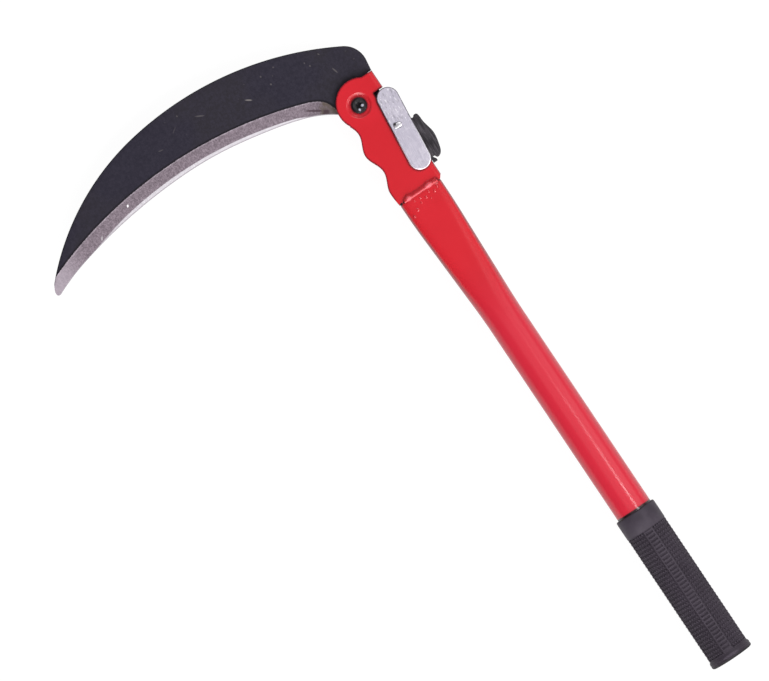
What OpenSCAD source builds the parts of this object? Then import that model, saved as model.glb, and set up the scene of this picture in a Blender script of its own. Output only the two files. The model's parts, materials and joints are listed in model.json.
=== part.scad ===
// Folding sickle: a pressed tube handle with a welded head, a crescent blade that folds, and a thumb lock.
// +X runs along the handle from butt to head, +Y to the side of the blade's tip, +Z up from the bench.

/* [Handle tube] */
// Outside diameter of the round tube
tube_d = 22; // [19:0.5:25]
// Wall of the tube
tube_wall = 1.4; // [0.8:0.1:2]
// Butt face to the mouth of the tube
mouth_x = 322; // [280:1:400]
// Length over which the tube is pressed from round to flat
press_len = 68; // [40:1:100]
// Length that stays flat behind the mouth
press_land = 14; // [8:1:30]

/* [Grip] */
// Length of the rubber grip
grip_len = 101.5; // [85:0.5:130]
// Diameter over the teeth
grip_d = 25.4; // [25:0.1:29]
// Diameter of the butt flange
flange_d = 26.8; // [26:0.1:30]
// Length of the butt flange
flange_len = 5; // [3:0.5:8]
// Rubber behind the end of the tube
butt_wall = 3; // [2:0.5:4]
// Plain collar at the front of the grip
collar_len = 12; // [6:0.5:20]
// Pitch of the teeth
tooth_pitch = 2.45; // [2:0.05:4]
// Depth of the grooves between the teeth
tooth_depth = 0.6; // [0.3:0.1:0.8]
// Width of the ladder bands between their two ridges
band_w = 4.4; // [3:0.1:6]
// Width of each ridge
ridge_w = 1.1; // [0.8:0.1:1.6]

/* [Head bracket] */
// Sheet that the bracket is folded from
sheet = 2.5; // [1.8:0.1:3]
// Mouth of the tube to the pivot
head_len = 60.8; // [58:0.2:75]
// Height of the pivot over the handle's axis
pivot_rise = 1.9; // [0:0.1:4]
// Handle's axis to the outside of the spine
spine_drop = 15.3; // [14.8:0.1:18]
// Radius of the nose round the pivot
nose_r = 14.8; // [13.5:0.1:16]
// Centre of the nose in front of the pivot
nose_lead = 0.4; // [0:0.1:2]
// Front end of the spine in front of the pivot
land_front = 12.8; // [10:0.1:13.4]
// Front edge of the window in front of the pivot
window_front = 1.45; // [0:0.05:4]
// Length of the window in the side plates
window_len = 10.1; // [6:0.1:11]
// Depth of the window from the spine
window_depth = 6.7; // [4:0.05:8]
// Length of the opening in the spine, window included
spine_slot_len = 52.5; // [51:0.1:55]
// Height of the finger crests over the axis
crest_h = 15.15; // [13:0.05:17]
// First crest in front of the mouth
crest_x = 8.7; // [6:0.1:12]
// Pitch of the finger scallops
scallop_pitch = 25.8; // [20:0.1:32]
// Depth of the finger scallops
scallop_depth = 3.8; // [1:0.1:5]
// Length of the two tongues inside the tube
tail_len = 20; // [10:1:30]
// Outside radius of the fold along the spine
bend_r = 3; // [2.6:0.1:3.4]

/* [Pivot] */
// Screw's shank
screw_d = 5; // [4:0.5:6]
// Screw's head
screw_head_d = 9.2; // [7:0.1:11]
// Height of the screw's head
screw_head_h = 1.8; // [1.2:0.1:3]
// Sleeve that the blade turns on
sleeve_d = 8; // [7.4:0.1:10]
// Thrust washers
washer_d = 14; // [11:0.5:15]
// Thickness of a thrust washer
washer_t = 0.75; // [0.4:0.05:1.2]
// Dish pressed round the screw's head, at the face
dish_d = 14.8; // [12.4:0.1:17]
// Depth of the dish
dish_depth = 0.8; // [0.4:0.1:1.2]
// Across the flats of the nut
nut_w = 8; // [8:0.5:10]
// Thickness of the nut
nut_t = 4; // [3:0.5:5]
// Spring washer under the nut
spring_washer_t = 1.2; // [0.8:0.1:1.6]

/* [Blade] */
// Thickness of the blade
blade_t = 2.4; // [1.6:0.1:3.4]
// Pivot to the tip, across the handle
blade_reach = 204.7; // [190:0.1:225]
// Crown of the back in front of the pivot
back_out = 59.6; // [56:0.05:66]
// Crown of the back to the side of the pivot
back_mid = 86.3; // [80:0.1:92]
// Radius of the back over the heel
back_r = 196; // [190:1:205]
// Turn of the back's heel arc past its crown, in degrees
back_join = 9.4; // [4:0.1:14]
// Radius of the heel corner
heel_r = 14; // [10:0.5:16]
// Lowest point of the heel corner below the spine
heel_drop = 0.95; // [0.5:0.05:2]
// Point of the tip in front of the pivot
tip_out = 5.2; // [3:0.1:12]
// Width of the tip before it is rounded
tip_w = 7; // [4:0.1:9]
// Length of the edge's belly at the tip
belly_len = 20.5; // [12:0.5:26]
// Start of the belly in front of the tip's point
belly_out = 8; // [5:0.1:10]
// Crown of the cutting edge in front of the pivot
edge_out = 22.85; // [20:0.05:27]
// Crown of the cutting edge to the side of the pivot
edge_mid = 102.6; // [96:0.1:108]
// Radius of the edge over the heel
edge_heel_r = 206; // [195:1:220]
// Width of the ground bevel at the crown
bevel_w = 9.3; // [5:0.1:12]
// Width of the ground bevel at the tip
bevel_tip_w = 8.6; // [5:0.1:10]
// Width of the honed strip at the crown
hone_w = 2.4; // [1:0.1:4]
// Radius of the bevel's end at the heel
bevel_end_r = 7.5; // [4:0.5:10]
// Thickness left at the cutting edge
edge_land = 0.15; // [0.1:0.05:0.3]
// Length over which the bevel runs out at the heel
run_out = 15; // [8:0.5:25]

/* [Lock] */
// Tilt of the slide to the handle, in degrees
lock_tilt = 6; // [4:0.5:7]
// Travel of the slide
lock_travel = 8; // [6:0.5:8.5]
// Key behind the pivot
key_back = 21.75; // [21.5:0.05:22.5]
// Key below the pivot
key_drop = 12; // [11.7:0.1:12.1]
// Length of the key along the slide
key_l = 3; // [2:0.1:3.5]
// Height of the key across the slide
key_h = 2.8; // [2:0.1:3]
// Length of the cover plates
plate_len = 52; // [44:0.5:54]
// Width of the cover plates
plate_w = 13; // [12:0.1:14.5]
// Thickness of the cover plates
plate_t = 1.5; // [1:0.1:2.5]
// Lower edge of the bolt's nose over the key
nose_lo = 2.5; // [2:0.1:3]
// Height of the bolt's nose
nose_h = 4; // [3:0.1:4.2]
// Length of the thumb piece
thumb_len = 28; // [20:0.5:29]
// Height of the thumb piece over the spine
thumb_h = 9.8; // [7:0.1:13]
// Radius of the thumb piece's crown
thumb_r = 32; // [24:1:60]

/* [Fits] */
// Sheet or bolt face to its neighbour, each side
play = 0.15; // [0.1:0.05:0.2]
// Tube's mouth to the tongues, each side
mouth_play = 0.1; // [0.05:0.01:0.15]
// Washer to its neighbours, each side
washer_play = 0.04; // [0.02:0.01:0.06]
// Round fits, on the radius
fit = 0.05; // [0.03:0.01:0.08]
// Blade's tip to the tube when it is folded
tip_gap = 2; // [1:0.1:4]

/* [Hidden] */
$fn = 64;
eps = 0.01;

// Stack in the head, from the blade outwards
gap = blade_t + 2*(washer_t + 2*washer_play);
head_t = gap + 2*sheet;
face_z = head_t/2;

// Mouth of the pressed tube, with the round tube's perimeter
tube_r = tube_d/2;
mouth_r = face_z + mouth_play + tube_wall;
mouth_flat = PI*(tube_r - mouth_r)/2;
press_x = mouth_x - press_land - press_len;

// Places in the head
pivot_x = mouth_x + head_len;
web_in = spine_drop - sheet;
key_x = pivot_x - key_back;
key_y = pivot_rise - key_drop;
window_x1 = pivot_x + window_front;
window_x0 = window_x1 - window_len;
spine_slot_x0 = window_x1 - spine_slot_len;
dish_floor_z = face_z - dish_depth;

// Tang: a disc that clears the spine and bears flat on its land, cut off below the bracket's outline
tang_r = web_in + pivot_rise - play;
tang_top = 8.8;
choil_x = -2;
land_gap = 0.3;

// Slide's axes at rest, and the pivot seen from the key
along = [cos(lock_tilt), -sin(lock_tilt)];
across = [sin(lock_tilt), cos(lock_tilt)];
pivot_s = key_back*along[0] + key_drop*along[1];
pivot_n = key_back*across[0] + key_drop*across[1];
nose_hi = nose_lo + nose_h;
// The nose starts just clear of the tang's swept circle
nose_s = pivot_s - sqrt(pow(tang_r + 0.3, 2) - pow(pivot_n - nose_hi, 2));

// Points on an arc
function arc(c, r, from, to, step) = [for (a = [from:step:to]) c + r*[cos(a), sin(a)]];

// Bows of the blade: x on a circle whose crown is at [out, mid], and the radius that meets [x, y]
function bow(y, out, mid, r) = out - r + sqrt(r*r - pow(y - mid, 2));
function bow_r(out, mid, x, y) = (pow(out - x, 2) + pow(y - mid, 2))/(2*(out - x));
tip_round = 2.2;
tip_y = blade_reach - tip_round;
// Rounded end of the tip, as shares of its width and of the rounding
tip_end = [[0, 0.55], [0.08, 0.93], [0.32, 1], [0.55, 0.77], [0.8, 0.35]];

// Cutting edge: an arc over the heel, one towards the tip, and a belly that leaves it smoothly
belly_y = tip_y - belly_len;
belly_x = tip_out + belly_out;
edge_tip_r = bow_r(edge_out, edge_mid, belly_x, belly_y);
belly_lean = (edge_mid - belly_y)/(edge_tip_r - edge_out + belly_x);
belly_bend = (tip_out - belly_x - belly_lean*belly_len)/pow(belly_len, 2);
function edge_x(y) = y > belly_y
    ? belly_x + belly_lean*(y - belly_y) + belly_bend*pow(y - belly_y, 2)
    : bow(y, edge_out, edge_mid, y < edge_mid ? edge_heel_r : edge_tip_r);

// Ground bevel and honed strip, which start at the heel
heel_y = 12.8;
bevel_mid = edge_mid + 5.2;
bevel_r = bow_r(edge_out + bevel_w, bevel_mid, tip_out + bevel_tip_w, tip_y);
bevel_end = [bow(heel_y + bevel_end_r, edge_out + bevel_w, bevel_mid, bevel_r) - bevel_end_r - 1.4,
    heel_y + bevel_end_r];
function bevel_x(y) = min(bow(y, edge_out + bevel_w, bevel_mid, bevel_r), bevel_end[0]
    + (y > bevel_end[1] ? bevel_end_r + 2*(y - bevel_end[1])
        : sqrt(max(0, pow(bevel_end_r, 2) - pow(y - bevel_end[1], 2)))));
hone_mid = edge_mid + 3.5;
hone_r = bow_r(edge_out + hone_w, hone_mid, tip_out - 0.6, tip_y);
function hone_x(y) = min(bevel_x(y) - 0.2, edge_x(y) + 0.3 + 0.16*max(0, y - heel_y),
    max(bow(y, edge_out + hone_w, hone_mid, hone_r), edge_x(y) + 0.8));

// Back of the blade: an arc over the heel, then one that leaves it smoothly for the tip
back_c = [back_out - back_r, back_mid];
join_dir = [cos(back_join), sin(back_join)];
tip_from = [tip_out + tip_w, tip_y] - back_c;
back_tip_r = pow(norm(tip_from - back_r*join_dir), 2)/(2*(back_r - tip_from*join_dir));
tip_c = back_c + (back_r - back_tip_r)*join_dir;
tip_a = asin((tip_y - tip_c[1])/back_tip_r);
heel_a = asin((heel_r - spine_drop - pivot_rise - heel_drop - back_mid)/(back_r - heel_r));
heel_c = back_c + (back_r - heel_r)*[cos(heel_a), sin(heel_a)];

// Folded, the tip lies beside the round tube
tip_dir = atan2(tip_y, tip_out);
tip_far = norm([tip_out, tip_y]);
fold_max = 180 - tip_dir - asin((tube_r + tip_gap - pivot_rise)/tip_far);
echo(fold_max=fold_max, pivot=[pivot_x, pivot_rise], along=along, tip=[pivot_x + edge_x(tip_y), tip_y]);

RED = [0.85, 0.09, 0.12];
RUBBER = [0.17, 0.16, 0.18];
FORGED = [0.17, 0.17, 0.20];
ZINC = [0.78, 0.78, 0.82];
STEEL = [0.62, 0.62, 0.64];
BLACK = [0.12, 0.12, 0.13];

// A ring of the pressed tube at x: two half circles of radius r, as far apart as keeps the perimeter
function press_ring(x, r, inset, n = 64) = let(f = PI*(tube_r - r)/2) [
    for (i = [0:n - 1]) let(a = 360*(i + 0.5)/n)
        [x, (cos(a) > 0 ? f : -f) + (r - inset)*cos(a), (r - inset)*sin(a)]];

module press_skin(inset, grow) {
    n = 64;
    rings = [press_ring(press_x - 1, tube_r, inset), press_ring(press_x, tube_r, inset),
        press_ring(press_x + press_len, mouth_r, inset), press_ring(mouth_x + grow, mouth_r, inset)];
    last = len(rings) - 1;
    polyhedron(
        points = [for (ring = rings) each ring],
        faces = concat(
            [[for (i = [0:n - 1]) i]],
            [[for (i = [n - 1:-1:0]) last*n + i]],
            [for (k = [0:last - 1], i = [0:n - 1]) let(j = (i + 1) % n)
                [k*n + i, (k + 1)*n + i, (k + 1)*n + j, k*n + j]]),
        convexity = 4);
}

module handle_tube() {
    color(RED) {
        // Round length, behind the pressed one
        translate([butt_wall, 0, 0]) rotate([0, 90, 0]) difference() {
            cylinder(h = press_x - butt_wall, r = tube_r);
            translate([0, 0, -1]) cylinder(h = press_x - butt_wall + 2, r = tube_r - tube_wall);
        }
        difference() {
            press_skin(0.02, 0);
            press_skin(tube_wall - 0.02, 1);
            translate([press_x - 2, 0, 0]) rotate([0, 90, 0]) cylinder(h = 2 - 0.5, r = tube_r - tube_wall);
        }
    }
}

// Outline of the grip's half section, with a groove in front of each tooth
module grip_section() {
    r = grip_d/2;
    root = r - tooth_depth;
    first = flange_len + 1.4;
    count = floor((grip_len - collar_len - first)/tooth_pitch);
    start = grip_len - collar_len - count*tooth_pitch;
    corner = 1.3;
    polygon(concat(
        [[0, 0]],
        [for (a = [-90:15:0]) [flange_d/2 - corner + corner*cos(a), corner + corner*sin(a)]],
        [[flange_d/2, flange_len - 0.6], [flange_d/2 - 0.6, flange_len], [root, flange_len], [root, start]],
        [for (i = [0:count - 1], p = [[root, 0.25], [r, 0.42], [r, 0.83], [root, 1]])
            [p[0], start + (i + p[1])*tooth_pitch]],
        [[r, grip_len - collar_len], [r, grip_len - 0.8], [r - 0.8, grip_len],
            [tube_r + fit, grip_len], [tube_r + fit, butt_wall], [0, butt_wall]]));
}

module grip() {
    ridge_len = grip_len - collar_len - flange_len - 1.2;
    ridge_h = 1.2;
    color(RUBBER) {
        rotate([0, 90, 0]) rotate_extrude() grip_section();
        // Two ridges beside each of the four ladder bands
        for (turn = [0:90:270], side = [-1, 1])
            rotate([turn, 0, 0])
                translate([flange_len + 0.6, side*(band_w + ridge_w)/2 - ridge_w/2, grip_d/2 - ridge_h + 0.1])
                    cube([ridge_len + 1, ridge_w, ridge_h - 0.25]);
    }
}

// Height of the bracket's finger edge over the axis
function finger_y(x) = let(d = x - mouth_x - crest_x)
    crest_h - scallop_depth/2*(1 - cos(360*d/(d < 0 ? 2.4*scallop_pitch : scallop_pitch)));

module bracket_outline() {
    nose_x = pivot_x + nose_lead;
    wave_end = pivot_x - nose_r/2;
    shoulder = 2.5;
    tail_y = mouth_flat + 0.5;
    steps = 44;
    polygon(concat(
        [[mouth_x - tail_len, -tail_y], [mouth_x + eps, -tail_y], [mouth_x + eps, -spine_drop + 2],
            [mouth_x + shoulder, -spine_drop], [pivot_x + land_front, -spine_drop], [pivot_x + land_front, 0]],
        [for (i = [steps:-1:0]) let(x = mouth_x + eps + (wave_end - mouth_x - eps)*i/steps) [x, finger_y(x)]],
        [[mouth_x + eps, tail_y], [mouth_x - tail_len, tail_y]]));
    translate([nose_x, 0]) circle(r = nose_r);
}

module at_pivot() { translate([pivot_x, pivot_rise, 0]) children(); }

module at_key() { translate([key_x, key_y, 0]) rotate(-lock_tilt) children(); }

module head_bracket() {
    long = head_len + tail_len + 2*nose_r;
    x0 = mouth_x - tail_len - 1;
    color(RED) difference() {
        intersection() {
            linear_extrude(head_t, center = true) bracket_outline();
            // Fold along the spine
            translate([x0, 0, 0]) rotate([90, 0, 90]) linear_extrude(long) {
                translate([-spine_drop + bend_r, -face_z]) square([spine_drop + crest_h + 5, head_t]);
                translate([-spine_drop, -face_z + bend_r]) square([bend_r + 1, head_t - 2*bend_r]);
                for (side = [-1, 1])
                    translate([-spine_drop + bend_r, side*(face_z - bend_r)]) circle(r = bend_r);
            }
        }
        // Channel for the blade, open to the finger side
        translate([x0, -web_in, -gap/2]) cube([long, web_in + crest_h + 5, gap]);
        // Opening along the spine, as wide as the channel
        translate([spine_slot_x0, -spine_drop - 1, -gap/2]) cube([spine_slot_len, sheet + 2, gap]);
        // Window through both side plates
        translate([window_x0, -spine_drop - 1, -head_t])
            cube([window_len, window_depth + 1, 2*head_t]);
        // Slots for the key
        at_key() translate([-key_l/2 - play, -key_h/2 - play, -head_t])
            cube([key_l + lock_travel + 2*play, key_h + 2*play, 2*head_t]);
        at_pivot() {
            translate([0, 0, -head_t]) cylinder(h = 2*head_t, d = screw_d + 2*fit);
            translate([0, 0, dish_floor_z])
                cylinder(h = dish_depth + eps, d1 = dish_d - 2.4, d2 = dish_d);
        }
    }
}

// Rippled fillet weld across one face, from the tube's mouth to the bracket
module weld_bead(side) {
    ripple = 1.7;
    count = 13;
    bead_r = 2.1;
    low = -count*ripple/2 - 0.5;
    color(RED) difference() {
        translate([mouth_x + 0.5, low, side*(face_z + 0.5)]) rotate([-90, 0, 0]) rotate_extrude()
            polygon(concat([[0, 0]],
                [for (i = [0:count - 1], p = [[bead_r - 0.35, 0.05], [bead_r, 0.35], [bead_r, 0.65]])
                    [p[0] - (i == 0 || i == count - 1 ? 0.3 : 0), (i + p[1])*ripple]],
                [[bead_r - 0.6, count*ripple], [0, count*ripple]]));
        translate([mouth_x, -30, -face_z]) cube([20, 60, head_t]);
        // Pressed tube, with its edges round
        translate([mouth_x - press_land + 1, 0, 0]) rotate([90, 0, 90]) linear_extrude(press_land - 1) {
            square([2*mouth_flat, 2*mouth_r], center = true);
            for (end = [-1, 1]) translate([end*mouth_flat, 0]) circle(r = mouth_r);
        }
    }
}

module weld_bead_front() { weld_bead(1); }

module weld_bead_back() { weld_bead(-1); }

// Path of the bolt's nose through the tang, with the slide forward
module nose_path() {
    translate([-key_back, -key_drop]) rotate(-lock_tilt)
        translate([nose_s - 12, nose_lo - 0.2]) square([12 + lock_travel + 0.35, nose_h + 0.4]);
}

module blade_outline() {
    edge_steps = 36;
    shoulder_x = land_front + land_gap;
    polygon(concat(
        [[choil_x, tang_top]],
        [for (i = [0:edge_steps]) let(y = heel_y + (tip_y - heel_y)*i/edge_steps) [edge_x(y), y]],
        [for (p = tip_end) [tip_out + p[0]*tip_w, tip_y + p[1]*tip_round]],
        arc(tip_c, back_tip_r, tip_a, back_join + 1, -2),
        arc(back_c, back_r, back_join, heel_a + 1, -2),
        arc(heel_c, heel_r, heel_a, -98, -8),
        [[shoulder_x, -spine_drop - pivot_rise + 0.1], [shoulder_x, -tang_r]],
        arc([0, 0], tang_r, 270, 180 - asin(tang_top/tang_r), -5),
        [[-sqrt(tang_r*tang_r - tang_top*tang_top), tang_top]]));
}

// What the grinding takes off one face: rows across the blade, each from the bevel's line to past the edge
module grind() {
    // Close together round the bevel's end at the heel
    near = [-1, 0, 0.1, 0.4, 0.9, 1.6, 2.6, 3.8, 5.4, 7.5, 10];
    far_rows = 42;
    far_y = heel_y + 10;
    rows_y = [for (y = near) heel_y + y, for (i = [1:far_rows])
        far_y + (blade_reach + 2 - far_y)*i/far_rows];
    rows = len(rows_y) - 1;
    top = blade_t/2;
    function row(y) = let(
            e = edge_x(y),
            fade = min(1, max(0, (y - heel_y)/run_out)),
            l = bevel_x(y),
            h = hone_x(y),
            low = -top + edge_land,
            z_h = top - fade*(top - low - 0.29*(h - e)),
            z_e = top - fade*(top - low),
            rise = (top - z_h)/(l - h),
            fall = (z_h - z_e)/(h - e))
        [[l + 2, y, top + 2*rise + eps], [h, y, z_h + eps], [e - 2, y, z_e - 2*fall + eps],
            [e - 2, y, top + 3], [l + 2, y, top + 3]];
    last = rows*5;
    polyhedron(
        points = [for (y = rows_y) each row(y)],
        faces = concat(
            [[0, 1, 2, 3, 4], [for (k = [4:-1:0]) last + k]],
            [for (i = [0:rows - 1], k = [0:4]) let(j = (k + 1) % 5)
                each [[5*i + k, 5*i + 5 + k, 5*i + 5 + j], [5*i + k, 5*i + 5 + j, 5*i + j]]]),
        convexity = 4);
}

module blade() {
    color(FORGED) at_pivot() difference() {
        linear_extrude(blade_t, center = true) difference() {
            blade_outline();
            circle(d = sleeve_d + 2*fit);
            nose_path();
            rotate(-fold_max) nose_path();
        }
        grind();
    }
}

module pivot_screw() {
    r = screw_head_d/2;
    end_z = face_z + spring_washer_t + nut_t + 0.6;
    color(BLACK) at_pivot() difference() {
        rotate_extrude() polygon(concat(
            [[0, -end_z], [screw_d/2 - 0.4, -end_z], [screw_d/2, -end_z + 0.4],
                [screw_d/2, dish_floor_z + 0.02], [r, dish_floor_z + 0.02], [r, dish_floor_z + screw_head_h - 0.8]],
            [for (a = [15:15:75]) [r - 0.8 + 0.8*cos(a), dish_floor_z + screw_head_h - 0.8 + 0.8*sin(a)]],
            [[0, dish_floor_z + screw_head_h]]));
        // Cross recess
        for (turn = [0, 90]) rotate([0, 0, turn + 20])
            translate([-0.3*screw_head_d, -0.5, dish_floor_z + screw_head_h - 1.1])
                cube([0.6*screw_head_d, 1, 2]);
    }
}

// A plain ring on the pivot, from z to z + t
module pivot_ring(z, t, outer, inner) {
    at_pivot() translate([0, 0, z]) difference() {
        cylinder(h = t, d = outer);
        translate([0, 0, -1]) cylinder(h = t + 2, d = inner);
    }
}

module pivot_sleeve() {
    color(STEEL) pivot_ring(-gap/2 + 0.02, gap - 0.04, sleeve_d, screw_d + 2*fit);
}

module thrust_washer_front() {
    color(STEEL) pivot_ring(blade_t/2 + washer_play, washer_t, washer_d, sleeve_d + 2*fit);
}

module thrust_washer_back() {
    color(STEEL) pivot_ring(-blade_t/2 - washer_play - washer_t, washer_t, washer_d, sleeve_d + 2*fit);
}

module spring_washer() {
    split = 1;
    z = -face_z - spring_washer_t;
    color(STEEL) difference() {
        pivot_ring(z + 0.02, spring_washer_t - 0.04, screw_d + 4, screw_d + 0.4);
        // Split
        at_pivot() translate([0, 0, z - 1]) rotate(40)
            translate([screw_d/2 - 1, -split/2, 0]) cube([5, split, spring_washer_t + 2]);
    }
}

module pivot_nut() {
    z = -face_z - spring_washer_t - nut_t;
    across_corners = nut_w/cos(30);
    color(BLACK) at_pivot() translate([0, 0, z]) difference() {
        intersection() {
            cylinder(h = nut_t, d = across_corners, $fn = 6);
            // Corners turned off on both faces
            rotate_extrude() polygon([[0, 0], [nut_w/2, 0], [across_corners/2 + 0.1, 0.5],
                [across_corners/2 + 0.1, nut_t - 0.5], [nut_w/2, nut_t], [0, nut_t]]);
        }
        translate([0, 0, -1]) cylinder(h = nut_t + 2, d = screw_d + 2*fit);
    }
}

bolt_t = gap - 2*play;
spring_l = 14;
spring_w = 3;
spring_t = 0.3;
spring_pocket = 0.9;
spring_at = [-12, 2.4];
// Spine side of the thumb piece, and the bolt's tongue inside it
thumb_y = -spine_drop - 0.3;
thumb_x1 = key_x + 0.2;
thumb_x0 = thumb_x1 - thumb_len;
tongue_in = 4;
tongue_drop = 4.6;
// Foot behind the thumb piece, over the spine
foot_l = 1.6;
foot_h = 2.6;

module lock_bolt() {
    color(STEEL) difference() {
        linear_extrude(bolt_t, center = true) {
            // Body and nose, along the slide
            at_key() {
                translate([-23, -3.2]) square([26.5, 3.2 + nose_hi]);
                translate([0, nose_lo]) square([nose_s, nose_h]);
            }
            // Foot in the spine's opening
            translate([thumb_x0, thumb_y]) square([thumb_len, key_y - thumb_y]);
            // Tongue under the thumb piece
            translate([thumb_x0 + tongue_in, thumb_y - tongue_drop])
                square([thumb_len - 2*tongue_in, tongue_drop + 1]);
        }
        at_key() {
            translate([-key_l/2 - fit, -key_h/2 - fit, -bolt_t])
                cube([key_l + 2*fit, key_h + 2*fit, 2*bolt_t]);
            // Pocket for the spring
            translate([spring_at[0] - spring_l/2 - 0.3, spring_at[1] - spring_w/2 - 0.2, bolt_t/2 - spring_pocket])
                cube([spring_l + 0.6, spring_w + 0.4, spring_pocket + 1]);
        }
    }
}

// Bowed leaf that rubs on the front side plate
module detent_spring() {
    bow_h = spring_pocket + play - spring_t - 0.06;
    r = (pow(spring_l/2, 2) + bow_h*bow_h)/(2*bow_h);
    base = bolt_t/2 - spring_pocket + 0.02;
    color(STEEL) at_key() translate([spring_at[0], spring_at[1] + spring_w/2, base])
        rotate([90, 0, 0]) linear_extrude(spring_w) intersection() {
            translate([0, bow_h - r]) difference() {
                circle(r = r + spring_t, $fn = 180);
                circle(r = r, $fn = 180);
            }
            translate([-spring_l/2, 0]) square([spring_l, 2]);
        }
}

module lock_key() {
    half = face_z + 2*play + plate_t;
    head_h = 0.6;
    color(STEEL) at_key() {
        translate([-key_l/2, -key_h/2, -half]) cube([key_l, key_h, 2*half]);
        // Upset ends, wider than the key
        for (side = [-1, 1]) translate([0, 0, side*(half + head_h/2)])
            linear_extrude(head_h, center = true) {
                square([key_l + 0.2, 2.2], center = true);
                for (end = [-1, 1]) translate([0, 1.1*end]) circle(d = key_l + 0.2);
            }
    }
}

// Half section of a plate's rim, rounded on the outer face
module rim_section(w) {
    round = plate_t/2;
    square([w - round, plate_t]);
    square([w, plate_t - round]);
    translate([w - round, plate_t - round]) circle(r = round);
}

module lock_plate(side) {
    reach = (plate_len - plate_w)/2;
    place = [-3.2, -2.25];
    color(ZINC) at_key() difference() {
        translate([place[0], place[1], side*(face_z + 2*play)]) mirror([0, 0, side > 0 ? 0 : 1]) {
            translate([-reach, 0, 0]) rotate([90, 0, 90]) linear_extrude(2*reach) {
                rim_section(plate_w/2);
                mirror([1, 0]) rim_section(plate_w/2);
            }
            for (end = [-1, 1]) translate([end*reach, 0, 0]) rotate_extrude() intersection() {
                rim_section(plate_w/2);
                square(plate_w);
            }
        }
        translate([-key_l/2 - fit, -key_h/2 - fit, -30]) cube([key_l + 2*fit, key_h + 2*fit, 60]);
    }
}

module lock_plate_front() { lock_plate(1); }

module lock_plate_back() { lock_plate(-1); }

module thumb_slide() {
    w = head_t - 0.1;
    round = 2;
    mid_x = (thumb_x0 + thumb_x1)/2 + 0.3;
    crown_y = thumb_y - thumb_h;
    lip_r = 1.3;
    color(BLACK) difference() {
        union() {
            intersection() {
                // Crown with rounded long edges
                translate([mid_x, crown_y + thumb_r, 0]) rotate_extrude($fn = 128) polygon(concat(
                    [[thumb_r - thumb_h - 4, w/2], [thumb_r - thumb_h - 4, -w/2]],
                    arc([thumb_r - round, -w/2 + round], round, -90, 0, 15),
                    arc([thumb_r - round, w/2 - round], round, 0, 90, 15)));
                translate([thumb_x0, crown_y - 1, -w]) cube([thumb_len, thumb_h + 1, 2*w]);
            }
            // Lip at the front end
            translate([thumb_x1 - lip_r, crown_y + 2.9, 0])
                cylinder(h = w - 2*round, r = lip_r, center = true);
            translate([thumb_x0 - foot_l, thumb_y - foot_h, -w/2 + round])
                cube([foot_l + tongue_in/2, foot_h, w - 2*round]);
        }
        translate([thumb_x0 + tongue_in - fit, thumb_y - tongue_drop - fit, -bolt_t/2 - fit])
            cube([thumb_len - 2*tongue_in + 2*fit, tongue_drop + 2, bolt_t + 2*fit]);
    }
}

handle_tube();
grip();
head_bracket();
weld_bead_front();
weld_bead_back();
blade();
pivot_screw();
pivot_sleeve();
thrust_washer_front();
thrust_washer_back();
spring_washer();
pivot_nut();
lock_bolt();
lock_key();
lock_plate_front();
lock_plate_back();
thumb_slide();
detent_spring();
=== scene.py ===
"""Folding sickle: a pressed tube handle with a welded head, a crescent blade and a sliding thumb lock.

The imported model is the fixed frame. Each sub-assembly is a class that makes its visible meshes around that
frame and dresses them. Sizes are in millimetres inside the classes, and meshes are written in metres.
"""

from __future__ import annotations

import json
import logging
import math
from dataclasses import dataclass
from enum import Enum
from typing import Callable, Iterable, Mapping, Sequence, Union

import bmesh
import bpy
from mathutils import Matrix, Vector, noise
from mathutils.geometry import delaunay_2d_cdt

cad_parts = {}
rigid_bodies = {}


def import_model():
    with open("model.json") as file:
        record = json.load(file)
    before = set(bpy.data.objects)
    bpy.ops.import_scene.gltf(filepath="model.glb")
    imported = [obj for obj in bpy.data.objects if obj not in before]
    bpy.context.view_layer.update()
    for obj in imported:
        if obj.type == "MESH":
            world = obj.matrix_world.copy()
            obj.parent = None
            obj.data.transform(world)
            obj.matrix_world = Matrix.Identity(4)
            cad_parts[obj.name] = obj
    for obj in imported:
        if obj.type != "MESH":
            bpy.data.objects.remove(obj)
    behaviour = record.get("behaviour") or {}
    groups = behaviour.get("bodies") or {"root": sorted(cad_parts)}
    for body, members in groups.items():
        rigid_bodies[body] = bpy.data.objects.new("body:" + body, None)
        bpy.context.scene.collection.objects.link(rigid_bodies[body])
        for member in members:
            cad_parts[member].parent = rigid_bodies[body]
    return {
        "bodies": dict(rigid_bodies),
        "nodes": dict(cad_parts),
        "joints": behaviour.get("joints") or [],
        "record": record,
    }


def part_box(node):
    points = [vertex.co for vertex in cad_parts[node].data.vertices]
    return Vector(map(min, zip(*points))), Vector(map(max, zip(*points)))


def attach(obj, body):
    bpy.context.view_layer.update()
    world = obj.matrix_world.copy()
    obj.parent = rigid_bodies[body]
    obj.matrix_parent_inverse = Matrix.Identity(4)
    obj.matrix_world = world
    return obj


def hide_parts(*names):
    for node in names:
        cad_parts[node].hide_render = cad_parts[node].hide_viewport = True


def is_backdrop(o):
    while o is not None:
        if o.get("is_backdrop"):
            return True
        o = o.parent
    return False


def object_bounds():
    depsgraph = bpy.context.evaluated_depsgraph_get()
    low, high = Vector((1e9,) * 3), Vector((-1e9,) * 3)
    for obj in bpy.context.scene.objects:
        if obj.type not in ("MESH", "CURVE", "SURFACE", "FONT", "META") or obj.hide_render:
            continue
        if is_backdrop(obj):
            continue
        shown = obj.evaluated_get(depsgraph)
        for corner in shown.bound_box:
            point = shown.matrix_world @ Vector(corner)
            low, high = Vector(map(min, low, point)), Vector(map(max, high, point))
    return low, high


LOG = logging.getLogger("sickle")
MM = 0.001
# Band and samples of the ambient occlusion that paints shade into colours.
SHADE_BAND = (0.92, 0.60)
SHADE_SAMPLES = 6
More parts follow.
